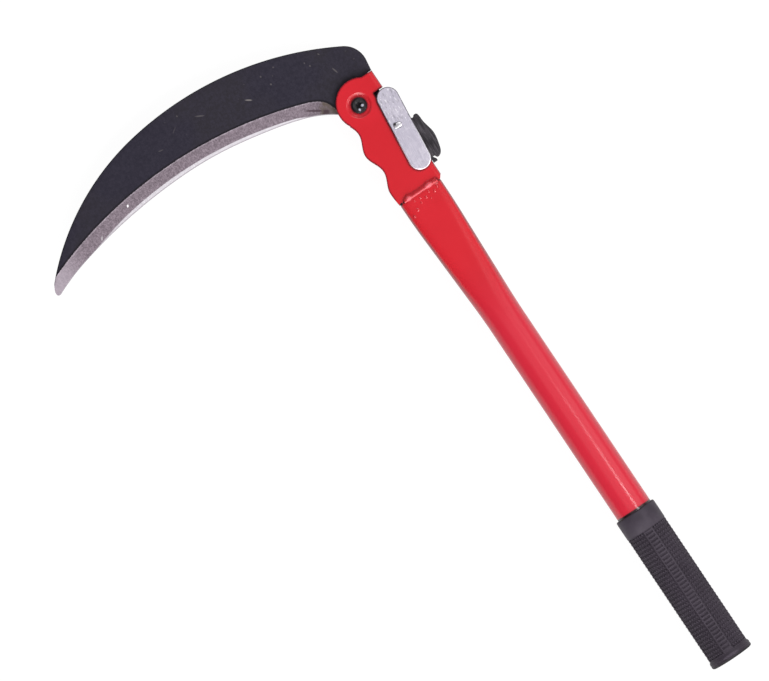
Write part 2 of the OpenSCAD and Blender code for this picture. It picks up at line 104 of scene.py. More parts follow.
MERGE_MM = 0.0005
Point = tuple[float, float]
Spot = tuple[float, float, float]
Colour = tuple[float, float, float, float]
Value = Union[float, Sequence[float], "Socket", bpy.types.NodeSocket]
Piece = bpy.types.Object


class Body(Enum):
    """The rigid bodies of the frame."""

    HANDLE = "handle"
    BLADE = "blade"
    LOCK = "lock"


class Slot(Enum):
    """The record's material slots."""

    RED = "red_paint"
    RUBBER = "grip_rubber"
    FORGED = "forged_steel"
    ZINC = "zinc_plate"
    STEEL = "plain_steel"
    BLACKENED = "blackened_steel"
    PLASTIC = "black_plastic"


class Face(Enum):
    """The two broad faces of the head: the one with the screw's head, and the one with the nut."""

    FRONT = 1
    BACK = -1


@dataclass(frozen=True)
class Mark:
    """A dash on a surface: its place and half lengths in millimetres, and its turn."""

    place: Point
    half: Point
    turn_deg: float = 0.0
    strength: float = 1.0


# Shader graphs


@dataclass(frozen=True)
class Socket:
    """A node's output; sums and products of it are Math nodes, | the greater and & the smaller of two."""

    graph: Graph
    output: bpy.types.NodeSocket

    def __add__(self, other: Value) -> Socket:
        """Adds a value."""
        return self.graph.math("ADD", self, other)

    def __sub__(self, other: Value) -> Socket:
        """Takes a value away."""
        return self.graph.math("SUBTRACT", self, other)

    def __rsub__(self, other: Value) -> Socket:
        """Takes this away from a value."""
        return self.graph.math("SUBTRACT", other, self)

    def __mul__(self, other: Value) -> Socket:
        """Multiplies by a value."""
        return self.graph.math("MULTIPLY", self, other)

    def __or__(self, other: Value) -> Socket:
        """Gives the greater of two values."""
        return self.graph.math("MAXIMUM", self, other)

    def __and__(self, other: Value) -> Socket:
        """Gives the smaller of two values."""
        return self.graph.math("MINIMUM", self, other)

    def times(self, factor: Value, plus: Value) -> Socket:
        """Multiplies by a value and adds another."""
        return self.graph.math("MULTIPLY_ADD", self, factor, plus)


class Graph:
    """Adds and links the nodes of one shader tree."""

    def __init__(self, tree: bpy.types.NodeTree) -> None:
        """Keeps the material's or the group's node tree."""
        self.tree = tree

    def feed(self, entry: bpy.types.NodeSocket, value: Value) -> None:
        """Links an input to an output, or sets its value.

        Args:
            entry: the input.
            value: an output, a number or a list of numbers.
        """
        if isinstance(value, Socket):
            value = value.output
        if isinstance(value, bpy.types.NodeSocket):
            self.tree.links.new(value, entry)
        else:
            entry.default_value = value

    def node(
        self, kind: str, inputs: Mapping[str | int, Value] | None = None, **settings: object
    ) -> bpy.types.Node:
        """Adds a node.

        Args:
            kind: the node's type name.
            inputs: values or sockets by input name or index.
            settings: the node's own properties.

        Returns:
            The new node.
        """
        made = self.tree.nodes.new(kind)
        for name, value in settings.items():
            setattr(made, name, value)
        for key, value in (inputs or {}).items():
            self.feed(made.inputs[key], value)
        return made

    def take(self, kind: str, inputs: Mapping[str | int, Value], output: str | int = 0, **settings: object) -> Socket:
        """Adds a node and gives one of its outputs."""
        return Socket(self, self.node(kind, inputs, **settings).outputs[output])

    def math(self, operation: str, *values: Value) -> Socket:
        """Adds a Math node."""
        return self.take("ShaderNodeMath", dict(enumerate(values)), operation=operation)

    def vector(self, operation: str, *values: Value) -> Socket:
        """Adds a Vector Math node and gives its vector."""
        return self.take("ShaderNodeVectorMath", dict(enumerate(values)), operation=operation)

    def length(self, vector: Value) -> Socket:
        """Gives a vector's length."""
        return self.take("ShaderNodeVectorMath", {0: vector}, "Value", operation="LENGTH")

    def scaled(self, vector: Value, scale: Value) -> Socket:
        """Scales a vector axis by axis."""
        return self.vector("MULTIPLY", vector, scale)

    def turned(self, vector: Value, angle: Value) -> Socket:
        """Turns a vector about the third axis."""
        return self.take("ShaderNodeVectorRotate", {"Vector": vector, "Angle": angle})

    def axes(self, vector: Value) -> list[Socket]:
        """Splits a vector into its three axes."""
        return [Socket(self, axis) for axis in self.node("ShaderNodeSeparateXYZ", {0: vector}).outputs]

    def band(self, value: Value, low: float, high: float) -> Socket:
        """Gives a smooth step.

        Args:
            value: what is compared.
            low: the value where the step is 0.
            high: the value where it is 1; it may be the lower one.

        Returns:
            The step, from 0 to 1.
        """
        flip = low > high
        inputs = {0: value, 1: min(low, high), 2: max(low, high), 3: float(flip), 4: float(not flip)}
        return self.take("ShaderNodeMapRange", inputs, interpolation_type="SMOOTHSTEP")

    def mix(self, factor: Value, a: Value, b: Value) -> Socket:
        """Mixes two colours."""
        return self.take("ShaderNodeMix", {0: factor, 6: a, 7: b}, 2, data_type="RGBA")

    def blend(self, factor: Value, a: Value, b: Value) -> Socket:
        """Mixes two numbers."""
        return self.take("ShaderNodeMix", {0: factor, 2: a, 3: b}, data_type="FLOAT")

    def noise(self, vector: Value, scale: Value, detail: float = 3.0, rough: float = 0.55) -> Socket:
        """Adds a Noise Texture and gives its value."""
        inputs = {"Vector": vector, "Scale": scale, "Detail": detail, "Roughness": rough}
        return self.take("ShaderNodeTexNoise", inputs)

    def bump(self, height: Value, depth_mm: float) -> Socket:
        """Gives the normal that a height bends, where a height of 1 stands for the depth."""
        return self.take("ShaderNodeBump", {"Height": height, "Distance": depth_mm * MM, "Strength": 1.0})

    def millimetres(self) -> Socket:
        """Gives the object's own coordinates in millimetres."""
        return self.scaled(self.take("ShaderNodeTexCoord", {}, "Object"), (1 / MM, 1 / MM, 1 / MM))

    def uprightness(self) -> Socket:
        """Gives how far the surface faces up or down, from 0 to 1."""
        return self.math("ABSOLUTE", self.axes(self.take("ShaderNodeNewGeometry", {}, "Normal"))[2])

    def rays(self, first: str, *others: str) -> Socket:
        """Says whether a ray is of one of the kinds that Light Path tells.

        Args:
            first: one kind.
            others: the other kinds.

        Returns:
            1 for such a ray, otherwise 0.
        """
        paths = self.node("ShaderNodeLightPath").outputs
        seen = Socket(self, paths[first])
        for kind in others:
            seen = seen | paths[kind]
        return seen

    def effect(self, effect: Effect, vector: Value, **values: Value) -> list[Socket]:
        """Places a shared effect and gives its outputs, with its values by the names of the group's inputs."""
        made = self.node("ShaderNodeGroup", {"Vector": vector, **values}, node_tree=effect_group(effect))
        return [Socket(self, output) for output in made.outputs]

    def marked(self, place: Socket, marks: Sequence[Mark], origin: Point = (0.0, 0.0)) -> Socket:
        """Gives a mask of placed marks.

        Args:
            place: the object's coordinates in millimetres.
            marks: the marks.
            origin: where their places are counted from.

        Returns:
            The strongest mark at each place.
        """
        mask: Value = 0.0
        for mark in marks:
            centre = (mark.place[0] + origin[0], mark.place[1] + origin[1], 0.0)
            turn = -math.radians(mark.turn_deg)
            one, = self.effect(Effect.MARK, place, Centre=centre, Turn=turn, Reach=(*mark.half, 1.0))
            mask = one * mark.strength | mask
        return mask


class Effect(Enum):
    """Effects that more than one finish uses, each a node group."""

    ARC = "arc distance"
    GRAIN = "surface grain"
    STREAKS = "ground streaks"
    SPECKS = "scattered specks"
    MARK = "placed mark"
    CORNER = "dirt in corners"
    OUTER = "outer edges"


def arc_distance(graph: Graph, vector: Socket, centre: Socket, radius: Socket) -> list[Socket]:
    """Distance of a point from an arc, positive outside it."""
    flat = graph.scaled(vector, (1.0, 1.0, 0.0))
    return [graph.length(graph.vector("SUBTRACT", flat, centre)) - radius]


def surface_grain(graph: Graph, vector: Socket, fine: Socket, broad: Socket) -> list[Socket]:
    """Two sizes of noise: a fine height and a broad mottle."""
    height = graph.noise(vector, fine, 4.0, 0.5)
    return [height, graph.band(graph.noise(vector, broad, 3.0, 0.5), 0.35, 0.65)]


def ground_streaks(graph: Graph, vector: Socket, stretch: Socket) -> list[Socket]:
    """Fine scratches along the first axis of the vector."""
    return [graph.band(graph.noise(graph.scaled(vector, stretch), 1.0, 5.0, 0.7), 0.3, 0.7)]


def scattered_specks(graph: Graph, vector: Socket, scale: Socket, size: Socket, share: Socket) -> list[Socket]:
    """A few small irregular dots, some cells empty.

    Args:
        graph: the group's graph.
        vector: where the dots are looked up.
        scale: how densely the cells lie.
        size: the dots' size as a share of a cell.
        share: the share of the cells that have a dot.

    Returns:
        The mask of the dots.
    """
    cells = graph.node("ShaderNodeTexVoronoi", {"Vector": vector, "Scale": scale}).outputs
    distance = Socket(graph, cells["Distance"]) + graph.noise(vector, 2.5) * 0.12
    dot = graph.math("LESS_THAN", distance, size)
    chosen = graph.take("ShaderNodeSeparateColor", {0: cells["Color"]})
    return [dot * graph.math("LESS_THAN", chosen, share)]


def placed_mark(graph: Graph, vector: Socket, centre: Socket, turn: Socket, reach: Socket) -> list[Socket]:
    """A soft-edged dash at a place, turned in the plane of the head."""
    turned = graph.turned(graph.vector("SUBTRACT", vector, centre), turn)
    flat = graph.vector("DIVIDE", graph.scaled(turned, (1.0, 1.0, 0.0)), reach)
    return [graph.band(graph.length(flat), 1.3, 0.6)]


# Painted shade: ambient occlusion turned into a mask that darkens colours.
def corner_shade(graph: Graph, _: Socket, reach: Socket, **settings: bool) -> list[Socket]:
    """The mask of painted shade in the corners, within the reach of one."""
    inputs = {"Distance": reach}
    near = graph.take("ShaderNodeAmbientOcclusion", inputs, "AO", samples=SHADE_SAMPLES, **settings)
    return [graph.band(near, *SHADE_BAND)]


def outer_edges(graph: Graph, vector: Socket, reach: Socket) -> list[Socket]:
    """The mask of painted shade at a piece's own outer edges, within the reach of one."""
    return corner_shade(graph, vector, reach, inside=True, only_local=True)


ORIGIN = (0.0, 0.0, 0.0)
EFFECTS: dict[Effect, tuple[Callable, dict[str, Value], tuple[str, ...]]] = {
    Effect.ARC: (arc_distance, {"Centre": ORIGIN, "Radius": 1.0}, ("Distance",)),
    Effect.GRAIN: (surface_grain, {"Fine": 3.0, "Broad": 0.1}, ("Height", "Mottle")),
    Effect.STREAKS: (ground_streaks, {"Stretch": (0.1, 4.0, 4.0)}, ("Streak",)),
    Effect.SPECKS: (scattered_specks, {"Scale": 0.3, "Size": 0.15, "Share": 0.3}, ("Speck",)),
    Effect.MARK: (placed_mark, {"Centre": ORIGIN, "Turn": 0.0, "Reach": (1.0, 1.0, 1.0)}, ("Mark",)),
    Effect.CORNER: (corner_shade, {"Reach": 0.002}, ("Mask",)),
    Effect.OUTER: (outer_edges, {"Reach": 0.001}, ("Mask",)),
}


def effect_group(effect: Effect) -> bpy.types.NodeTree:
    """Gives an effect's node group, built the first time it is asked for.

    Args:
        effect: which one.

    Returns:
        The group.
    """
    found = bpy.data.node_groups.get(effect.value)
    if found:
        return found
    build, values, results = EFFECTS[effect]
    tree = bpy.data.node_groups.new(effect.value, "ShaderNodeTree")
    tree.interface.new_socket("Vector", in_out="INPUT", socket_type="NodeSocketVector")
    for name, value in values.items():
        kind = "NodeSocketFloat" if isinstance(value, float) else "NodeSocketVector"
        tree.interface.new_socket(name, in_out="INPUT", socket_type=kind).default_value = value
    for name in results:
        tree.interface.new_socket(name, in_out="OUTPUT", socket_type="NodeSocketFloat")
    graph = Graph(tree)
    entry = graph.node("NodeGroupInput")
    leave = graph.node("NodeGroupOutput")
    made = build(graph, *(Socket(graph, output) for output in entry.outputs if output.name))
    for name, socket in zip(results, made):
        graph.feed(leave.inputs[name], socket)
    return tree


# Finishes


class Finish:
    """A surface finish, which makes one material."""

    slot: Slot

    def dress(self, graph: Graph, place: Socket) -> dict[str, Value]:
        """Builds the finish.

        Args:
            graph: the material's graph.
            place: the object's coordinates in millimetres.

        Returns:
            What the inputs of the material's Principled BSDF take.
        """
        raise NotImplementedError

    def material(self) -> bpy.types.Material:
        """Makes the material.

        Returns:
            The material, with the finish's nodes.
        """
        made = bpy.data.materials.new(self.slot.value)
        made.use_nodes = True
        graph = Graph(made.node_tree)
        shader = made.node_tree.nodes["Principled BSDF"]
        for name, value in self.dress(graph, graph.millimetres()).items():
            graph.feed(shader.inputs[name], value)
        return made


def shaded(colour: Colour, share: float) -> Colour:
    """Darkens a colour."""
    return (*(share * part for part in colour[:3]), 1.0)


@dataclass(frozen=True)
class RedEnamel(Finish):
    """Glossy red stove enamel, with a faint orange peel."""

    slot: Slot = Slot.RED
    colour: Colour = (0.62, 0.0125, 0.0235, 1.0)
    deep: Colour = (0.58, 0.009, 0.018, 1.0)
    # Dust specks, and the colour that paints shade.
    dust_and_shade: Colour = (0.07, 0.004, 0.010, 1.0)
    # Pale pink painted onto the weld's lumps as highlights.
    painted_highlight: Colour = (0.95, 0.17, 0.21, 1.0)
    thin: Colour = (0.59, 0.014, 0.035, 1.0)
    # Near-black for the painted shade in the mouth's open corner and for the line at the grip's end.
    near_black: Colour = (0.02, 0.002, 0.004, 1.0)
    roughness: float = 0.20
    peel_mm: float = 0.003
    mouth_x: float = 321.0
    grip_end: float = 101.7
    pivot: Point = (0.0, 0.0)
    # Where highlights are painted on the weld's lumps, counted from the tube's mouth.
    lumps: tuple[Mark, ...] = (
        Mark((0.5, 8.0), (1.5, 1.7)), Mark((0.5, -5.6), (1.5, 2.4)), Mark((0.2, 1.0), (0.6, 7.0), 0.0, 0.6))

    def dress(self, graph: Graph, place: Socket) -> dict[str, Value]:
        """Colour with a slow drift, dust under the gloss, painted shade on the bracket's edges, the sides and in
        corners, painted highlights on the weld, a painted dark gap at the mouth, a dark line at the grip's end, and
        the peel.

        Args:
            graph: the material's graph.
            place: the object's coordinates in millimetres.

        Returns:
            What the shader's inputs take.
        """
        mouth = self.mouth_x
        height, mottle = graph.effect(Effect.GRAIN, place, Fine=0.30, Broad=0.03)
        specks, = graph.effect(Effect.SPECKS, place, Scale=0.22, Size=0.06, Share=0.35)
        body = graph.mix(mottle, self.deep, self.colour)
        body = graph.mix(specks * 0.25, body, self.dust_and_shade)
        x, _, _ = graph.axes(place)
        upright = graph.uprightness()
        body = graph.mix(graph.band(x, mouth - 35, mouth - 100), body, self.thin)
        # Painted shade: the bracket's outer edges are darkened, away from the weld and the pivot's ring.
        edges, = graph.effect(Effect.OUTER, place, Reach=1.3 * MM)
        ahead = graph.band(x, mouth + 3.4, mouth + 4.4)
        ring, = graph.effect(Effect.ARC, place, Centre=(*self.pivot, 0.0), Radius=9.0)
        dark = edges * ahead * graph.band(ring, 0.0, 1.0)
        # Painted shade: red surfaces turned away from facing up are darkened, more towards the head.
        border = graph.blend(graph.band(x, mouth - 90, mouth - 35), 0.2, 0.62)
        flank = graph.band(upright, 0.72, 0.45) * border
        painted_shade = dark * 0.9 | flank
        # Painted shade in corners and between parts.
        corners, = graph.effect(Effect.CORNER, place, Reach=1.8 * MM)
        body = graph.mix(painted_shade | corners * 0.9, body, self.dust_and_shade)
        # Painted highlights on the weld's lumps.
        body = graph.mix(graph.marked(place, self.lumps, (mouth, 0.0)) * 0.55, body, self.painted_highlight)
        # Painted shade: a near-black spot in the open corner of the tube's mouth; a dark line round the tube at the
        # grip's end.
        dark_marks = [Mark((mouth + 0.2, 13.4), (0.75, 1.1), 20.0), Mark((self.grip_end, 0.0), (1.1, 40.0))]
        body = graph.mix(graph.marked(place, dark_marks), body, self.near_black)
        satin = graph.band(upright, 0.36, 0.12) * 0.22
        rough = graph.blend(mottle, self.roughness + 0.06, self.roughness) + satin
        normal = graph.bump(height, self.peel_mm)
        coat = graph.band(upright, 0.05, 0.5) * graph.blend(dark, 1.0, 0.05)
        coat = coat * graph.blend(graph.band(upright, 0.60, 0.92), 0.3, 1.0)
        return {"Base Color": body, "Roughness": rough, "Normal": normal, "Coat Weight": coat,
                "Coat Roughness": 0.26, "Specular IOR Level": 0.3}


@dataclass(frozen=True)
class GripRubber(Finish):
    """Moulded charcoal rubber, lighter on the crowns than in the grooves: partly rubbing, partly painted light."""

    slot: Slot = Slot.RUBBER
    colour: Colour = (0.031, 0.0235, 0.034, 1.0)
    # Lighter tone for the rubbed crowns and for the painted highlight on the flange.
    dust_and_highlight: Colour = (0.062, 0.049, 0.067, 1.0)
    axis_radius: float = 12.7
    # Near-black for the painted shade at the butt's end.
    black: Colour = (0.006, 0.005, 0.006, 1.0)
    # Where the highlight is painted on the flange.
    lens: Mark = Mark((3.0, 0.3), (0.9, 5.2))

    def dress(self, graph: Graph, place: Socket) -> dict[str, Value]:
        """Lighter crowns by their distance from the axis, partly rubbing and partly painted light, a painted
        highlight on the flange, painted shade at the butt's end, and a fine mould grain.

        Args:
            graph: the material's graph.
            place: the object's coordinates in millimetres.

        Returns:
            What the shader's inputs take.
        """
        height, mottle = graph.effect(Effect.GRAIN, place, Fine=2.4, Broad=0.12)
        radius = graph.length(graph.scaled(place, (0.0, 1.0, 1.0)))
        crown = graph.band(radius, self.axis_radius - 0.35, self.axis_radius + 0.02)
        # Lighter crowns: partly rubbing, partly painted light on the raised pattern.
        worn = crown * graph.blend(mottle, 0.18, 0.58)
        worn = worn | graph.band(graph.noise(place, 0.045, 2.0), 0.48, 0.62) * 0.22
        x, _, _ = graph.axes(place)
        worn = worn * graph.blend(graph.band(x, 4.0, 7.5), 0.22, 1.0)
        # Painted highlight on the flange near the butt.
        worn = worn | graph.marked(place, [self.lens]) * 0.9
        body = graph.mix(worn, self.colour, self.dust_and_highlight)
        # Painted shade: the butt's rounded end is darkened nearly to black.
        body = graph.mix(graph.band(x, 1.9, 1.3) * 0.9, body, self.black)
        return {"Base Color": body, "Roughness": graph.blend(crown, 0.72, 0.55),
                "Normal": graph.bump(height, 0.03), "Specular IOR Level": 0.25}


# Painted shade on one side of the key's dome, and on the plates beside it.
KEY_SHADE = Mark((1.45, 1.15), (1.0, 0.95))
KEY_SHADE_COLOUR: Colour = (0.05, 0.04, 0.05, 1.0)


def key_shaded(graph: Graph, place: Socket, key: Point, body: Socket) -> Socket:
    """Adds the painted shade beside the key to a colour."""
    return graph.mix(graph.marked(place, [KEY_SHADE], key) * 0.9, body, KEY_SHADE_COLOUR)


@dataclass(frozen=True)
class PlainSteel(Finish):
    """Bright turned steel."""

    slot: Slot = Slot.STEEL
    colour: Colour = (0.74, 0.72, 0.76, 1.0)
    stretch: Spot = (0.15, 3.0, 3.0)
    key: Point = (0.0, 0.0)

    def dress(self, graph: Graph, place: Socket) -> dict[str, Value]:
        """Streaks in the colour, the roughness and the normal, and painted shade on one side of the key.

        Args:
            graph: the material's graph.
            place: the object's coordinates in millimetres.

        Returns:
            What the shader's inputs take.
        """
        streak, = graph.effect(Effect.STREAKS, place, Stretch=self.stretch)
        body = graph.mix(streak, shaded(self.colour, 0.8), self.colour)
        # Painted shade on one side of the key.
        body = key_shaded(graph, place, self.key, body)
        return {"Base Color": body, "Roughness": graph.blend(streak, 0.5, 0.36),
                "Normal": graph.bump(streak, 0.004), "Metallic": 1.0}


@dataclass(frozen=True)
class ZincPlate(Finish):
    """Dull zinc plating over brushed sheet, mottled and speckled."""

    slot: Slot = Slot.ZINC
    colour: Colour = (0.66, 0.62, 0.71, 1.0)
    dull: Colour = (0.45, 0.425, 0.51, 1.0)
    bright: Colour = (0.95, 0.93, 0.97, 1.0)
    # Colour of the painted shade on the rim's far end.
    painted_shade: Colour = (0.16, 0.15, 0.18, 1.0)
    worn_x: float = 352.0
    tilt_deg: float = 6.0
    key: Point = (0.0, 0.0)

    def dress(self, graph: Graph, place: Socket) -> dict[str, Value]:
        """Brushing along the plate, a broad mottle, small pits, rubbed edges with painted shade at their far end, and
        painted shade beside the key.

        Args:
            graph: the material's graph.
            place: the object's coordinates in millimetres.

        Returns:
            What the shader's inputs take.
        """
        turned = graph.turned(place, math.radians(self.tilt_deg))
        streak, = graph.effect(Effect.STREAKS, turned, Stretch=(0.10, 2.2, 2.2))
        height, mottle = graph.effect(Effect.GRAIN, place, Fine=1.1, Broad=0.22)
        pits, = graph.effect(Effect.SPECKS, place, Scale=0.5, Size=0.14, Share=0.30)
        tone = streak * 0.55 + mottle * 0.45
        x, _, _ = graph.axes(place)
        worn = graph.band(x, self.worn_x, self.worn_x + 16)
        grey = graph.band(x, self.worn_x - 10, self.worn_x)
        tone = tone * graph.blend(grey, 1.15, 0.72)
        dark = shaded(self.dull, 0.5)
        body = graph.mix(tone, self.dull, self.colour)
        body = graph.mix(pits * 0.35, body, dark)
        flecks = graph.band(graph.noise(graph.scaled(turned, (0.55, 1.0, 1.0)), 0.8, 4.0, 0.65), 0.55, 0.66)
        dents = graph.band(graph.noise(graph.scaled(turned, (0.4, 1.0, 1.0)), 0.65, 4.0, 0.6), 0.48, 0.34)
        body = graph.mix(flecks * graph.blend(worn, 0.2, 0.7), body, self.bright)
        body = graph.mix(dents * graph.blend(worn, 0.12, 0.6), body, dark)
        # Painted shade beside the key.
        body = key_shaded(graph, place, self.key, body)
        rubbed = graph.band(graph.uprightness(), 0.97, 0.85)
        # Painted shade: the rolled rim is darkened from worn_x on towards the plate's far end.
        rim = graph.mix(graph.band(x, self.worn_x - 4, self.worn_x + 8), self.bright, self.painted_shade)
        body = graph.mix(rubbed, body, rim)
        rough = graph.blend(tone, 0.5, 0.36)
        normal = graph.bump(streak + height * 0.8, 0.02)
        return {"Base Color": body, "Roughness": rough, "Normal": normal, "Metallic": graph.blend(rubbed, 0.25, 0.9)}


@dataclass(frozen=True)
class BlackOxide(Finish):
    """Chemically blackened steel."""

    slot: Slot = Slot.BLACKENED
    colour: Colour = (0.006, 0.005, 0.007, 1.0)
    rubbed: Colour = (0.04, 0.037, 0.040, 1.0)
    glint: Colour = (0.45, 0.45, 0.53, 1.0)
    glints: tuple[Mark, ...] = (Mark((-1.0, -1.5), (0.75, 0.95)), Mark((-2.35, 1.1), (0.8, 0.6)))
    driven: Point = (0.0, 0.0)

    def dress(self, graph: Graph, place: Socket) -> dict[str, Value]:
        """Black with faint rubbed patches and a satin shine.

        Args:
            graph: the material's graph.
            place: the object's coordinates in millimetres.

        Returns:
            What the shader's inputs take.
        """
        height, mottle = graph.effect(Effect.GRAIN, place, Fine=2.0, Broad=0.5)
        away, = graph.effect(Effect.ARC, place, Centre=(*self.driven, 0.0), Radius=0.0)
        ring = graph.band(away, 1.5, 2.1) * graph.band(away, 3.9, 3.2)
        black = graph.mix(ring * graph.blend(mottle, 0.45, 1.0), self.colour, self.rubbed)
        body = graph.mix(graph.marked(place, self.glints, self.driven), black, self.glint)
        return {"Base Color": body, "Roughness": graph.blend(mottle, 0.38, 0.28),
                "Normal": graph.bump(height, 0.012), "Specular IOR Level": 0.25}


@dataclass(frozen=True)
class MouldedPlastic(Finish):
    """Black moulded plastic with a fine spark grain."""

    slot: Slot = Slot.PLASTIC
    colour: Colour = (0.010, 0.008, 0.011, 1.0)
    pale: Colour = (0.088, 0.078, 0.091, 1.0)

    def dress(self, graph: Graph, place: Socket) -> dict[str, Value]:
        """A slow drift of tone and the spark grain.

        Args:
            graph: the material's graph.
            place: the object's coordinates in millimetres.

        Returns:
            What the shader's inputs take.
        """
        height, mottle = graph.effect(Effect.GRAIN, place, Fine=2.2, Broad=0.15)
        drawn, = graph.effect(Effect.STREAKS, place, Stretch=(0.16, 1.9, 1.9))
        pale = mottle.times(0.2, graph.math("POWER", drawn, 2.2)) * 0.85
        return {"Base Color": graph.mix(pale, self.colour, self.pale), "Roughness": graph.blend(mottle, 0.58, 0.48),
                "Normal": graph.bump(height, 0.02), "Specular IOR Level": 0.25}


def clamped(share: float) -> float:
    """Limits a share to the range from 0 to 1."""
    return min(1.0, max(0.0, share))


def polar(reach: float, turn: float) -> Point:
    """Gives the point at a distance from the origin and an angle."""
    return reach * math.cos(turn), reach * math.sin(turn)


@dataclass(frozen=True)
class Arc:
    """An arc in the blade's plane, in millimetres from the pivot."""

    centre: Point
    radius: float

    def at(self, degrees: float, inset: float = 0.0) -> Point:
        """Gives the point at an angle, drawn in by the inset."""
        x, y = polar(self.radius - inset, math.radians(degrees))
        return self.centre[0] + x, self.centre[1] + y

    def x(self, y: float) -> float:
        """Gives the arc's forward side at a height."""
        return self.centre[0] + math.sqrt(max(0.0, self.radius**2 - (y - self.centre[1]) ** 2))

    def angle(self, y: float) -> float:
        """Gives the angle of the forward side at a height, in degrees."""
        return math.degrees(math.asin((y - self.centre[1]) / self.radius))


def bow(out: float, mid: float, radius: float) -> Arc:
    """Gives the arc of a radius with its crown at [out, mid]."""
    return Arc((out - radius, mid), radius)


def bow_through(out: float, mid: float, x: float, y: float) -> Arc:
    """Gives the arc with its crown at [out, mid] that meets the point [x, y]."""
    return bow(out, mid, ((out - x) ** 2 + (y - mid) ** 2) / (2 * (out - x)))


@dataclass(frozen=True)
class BladePlan:
    """The blade's outline, in millimetres from the pivot."""

    thickness: float = 2.4
    reach: float = 204.7
    tip_round: float = 2.2
    tip_out: float = 5.2
    tip_w: float = 7.0
    tip_end: tuple[Point, ...] = ((0.0, 0.55), (0.08, 0.93), (0.32, 1.0), (0.55, 0.77), (0.8, 0.35))
    back_out: float = 59.6
    back_mid: float = 86.3
    back_r: float = 196.0
    back_join: float = 9.4
    heel_r: float = 14.0
    heel_low: float = -18.15
    heel_y: float = 12.8
    belly_len: float = 20.5
    belly_out: float = 7.3
    edge_out: float = 22.85
    edge_mid: float = 102.6
    edge_heel_r: float = 206.0
    bevel_w: float = 9.3
    bevel_tip_w: float = 8.6
    bevel_low: float = 11.7
    bevel_soft: float = 17.0
    hone_w: float = 2.4
    hone_least: float = 0.45
    hone_from: float = 27.0
    hone_gain: float = 0.13
    hone_fade: float = 145.0
    hone_loss: float = 0.07
    hollow: float = 1.5
    hollow_len: float = 56.0
    edge_land: float = 0.15
    run_out: float = 15.0

    @property
    def tip_y(self) -> float:
        """Height of the tip's corner."""
        return self.reach - self.tip_round

    @property
    def back(self) -> Arc:
        """Back of the blade over the heel."""
        return bow(self.back_out, self.back_mid, self.back_r)

    @property
    def back_tip(self) -> Arc:
        """Back of the blade towards the tip, which leaves the first arc smoothly.

        Returns:
            The arc.
        """
        turn = math.radians(self.back_join)
        way = polar(1.0, turn)
        end = (self.tip_out + self.tip_w - self.back.centre[0], self.tip_y - self.back.centre[1])
        gap = (end[0] - self.back_r * way[0]) ** 2 + (end[1] - self.back_r * way[1]) ** 2
        radius = gap / (2 * (self.back_r - end[0] * way[0] - end[1] * way[1]))
        shift = self.back_r - radius
        return Arc((self.back.centre[0] + shift * way[0], self.back.centre[1] + shift * way[1]), radius)

    @property
    def heel(self) -> Arc:
        """Corner of the heel, which the back runs into.

        Returns:
            The arc.
        """
        middle = self.heel_low + self.heel_r
        shift = self.back_r - self.heel_r
        turn = math.asin((middle - self.back_mid) / shift)
        return Arc((self.back.centre[0] + shift * math.cos(turn), middle), self.heel_r)

    @property
    def belly(self) -> Point:
        """Point at which the edge's belly starts."""
        return self.tip_out + self.belly_out, self.tip_y - self.belly_len

    @property
    def belly_bend(self) -> Point:
        """Lean of the belly at its start, and how fast it bends."""
        x, y = self.belly
        lean = (self.edge_mid - y) / (self.edge_tip.radius - self.edge_out + x)
        return lean, (self.tip_out - x - lean * self.belly_len) / self.belly_len**2

    @property
    def edge_heel(self) -> Arc:
        """Cutting edge over the heel."""
        return bow(self.edge_out, self.edge_mid, self.edge_heel_r)

    @property
    def edge_tip(self) -> Arc:
        """Cutting edge towards the tip, as far as its belly."""
        return bow_through(self.edge_out, self.edge_mid, *self.belly)

    @property
    def bevel(self) -> Arc:
        """Line between the forge scale and the ground bevel."""
        out = self.edge_out + self.bevel_w
        return bow_through(out, self.edge_mid + 5.2, self.tip_out + self.bevel_tip_w, self.tip_y)

    @property
    def hone(self) -> Arc:
        """Line between the bevel and the honed strip."""
        return bow_through(self.edge_out + self.hone_w, self.edge_mid + 3.5, self.tip_out - 0.6, self.tip_y)

    def edge_x(self, y: float) -> float:
        """Gives the cutting edge's place at a height.

        Args:
            y: the height.

        Returns:
            The place in front of the pivot.
        """
        past = y - self.belly[1]
        if past > 0:
            lean, bend = self.belly_bend
            return self.belly[0] + lean * past + bend * past**2
        share = clamped((y - self.heel_y) / self.hollow_len)
        hollow = self.hollow * math.sin(math.pi * math.sqrt(share)) ** 2
        return (self.edge_heel if y < self.edge_mid else self.edge_tip).x(y) + hollow

    def past_bevel(self, x: float, y: float) -> float:
        """Gives how far a point lies outside the ground bevel, whose corner at the heel is a soft one.

        Args:
            x: place in front of the pivot.
            y: place to the side of the pivot.

        Returns:
            The distance, below 0 on the bevel.
        """
        arc = math.hypot(x - self.bevel.centre[0], y - self.bevel.centre[1]) - self.bevel.radius
        low = self.bevel_low - y
        near = max(0.0, 1 - abs(arc - low) / self.bevel_soft)
        return max(arc, low) + near**3 * self.bevel_soft / 6

    def bevel_x(self, y: float) -> float:
        """Gives the bevel line's place at a height, by halving.

        Args:
            y: the height.

        Returns:
            The place in front of the pivot.
        """
        inside, outside = self.edge_x(y), self.bevel.x(y) + 1.0
        for _ in range(30):
            middle = (inside + outside) / 2
            if self.past_bevel(middle, y) > 0:
                outside = middle
            else:
                inside = middle
        return inside

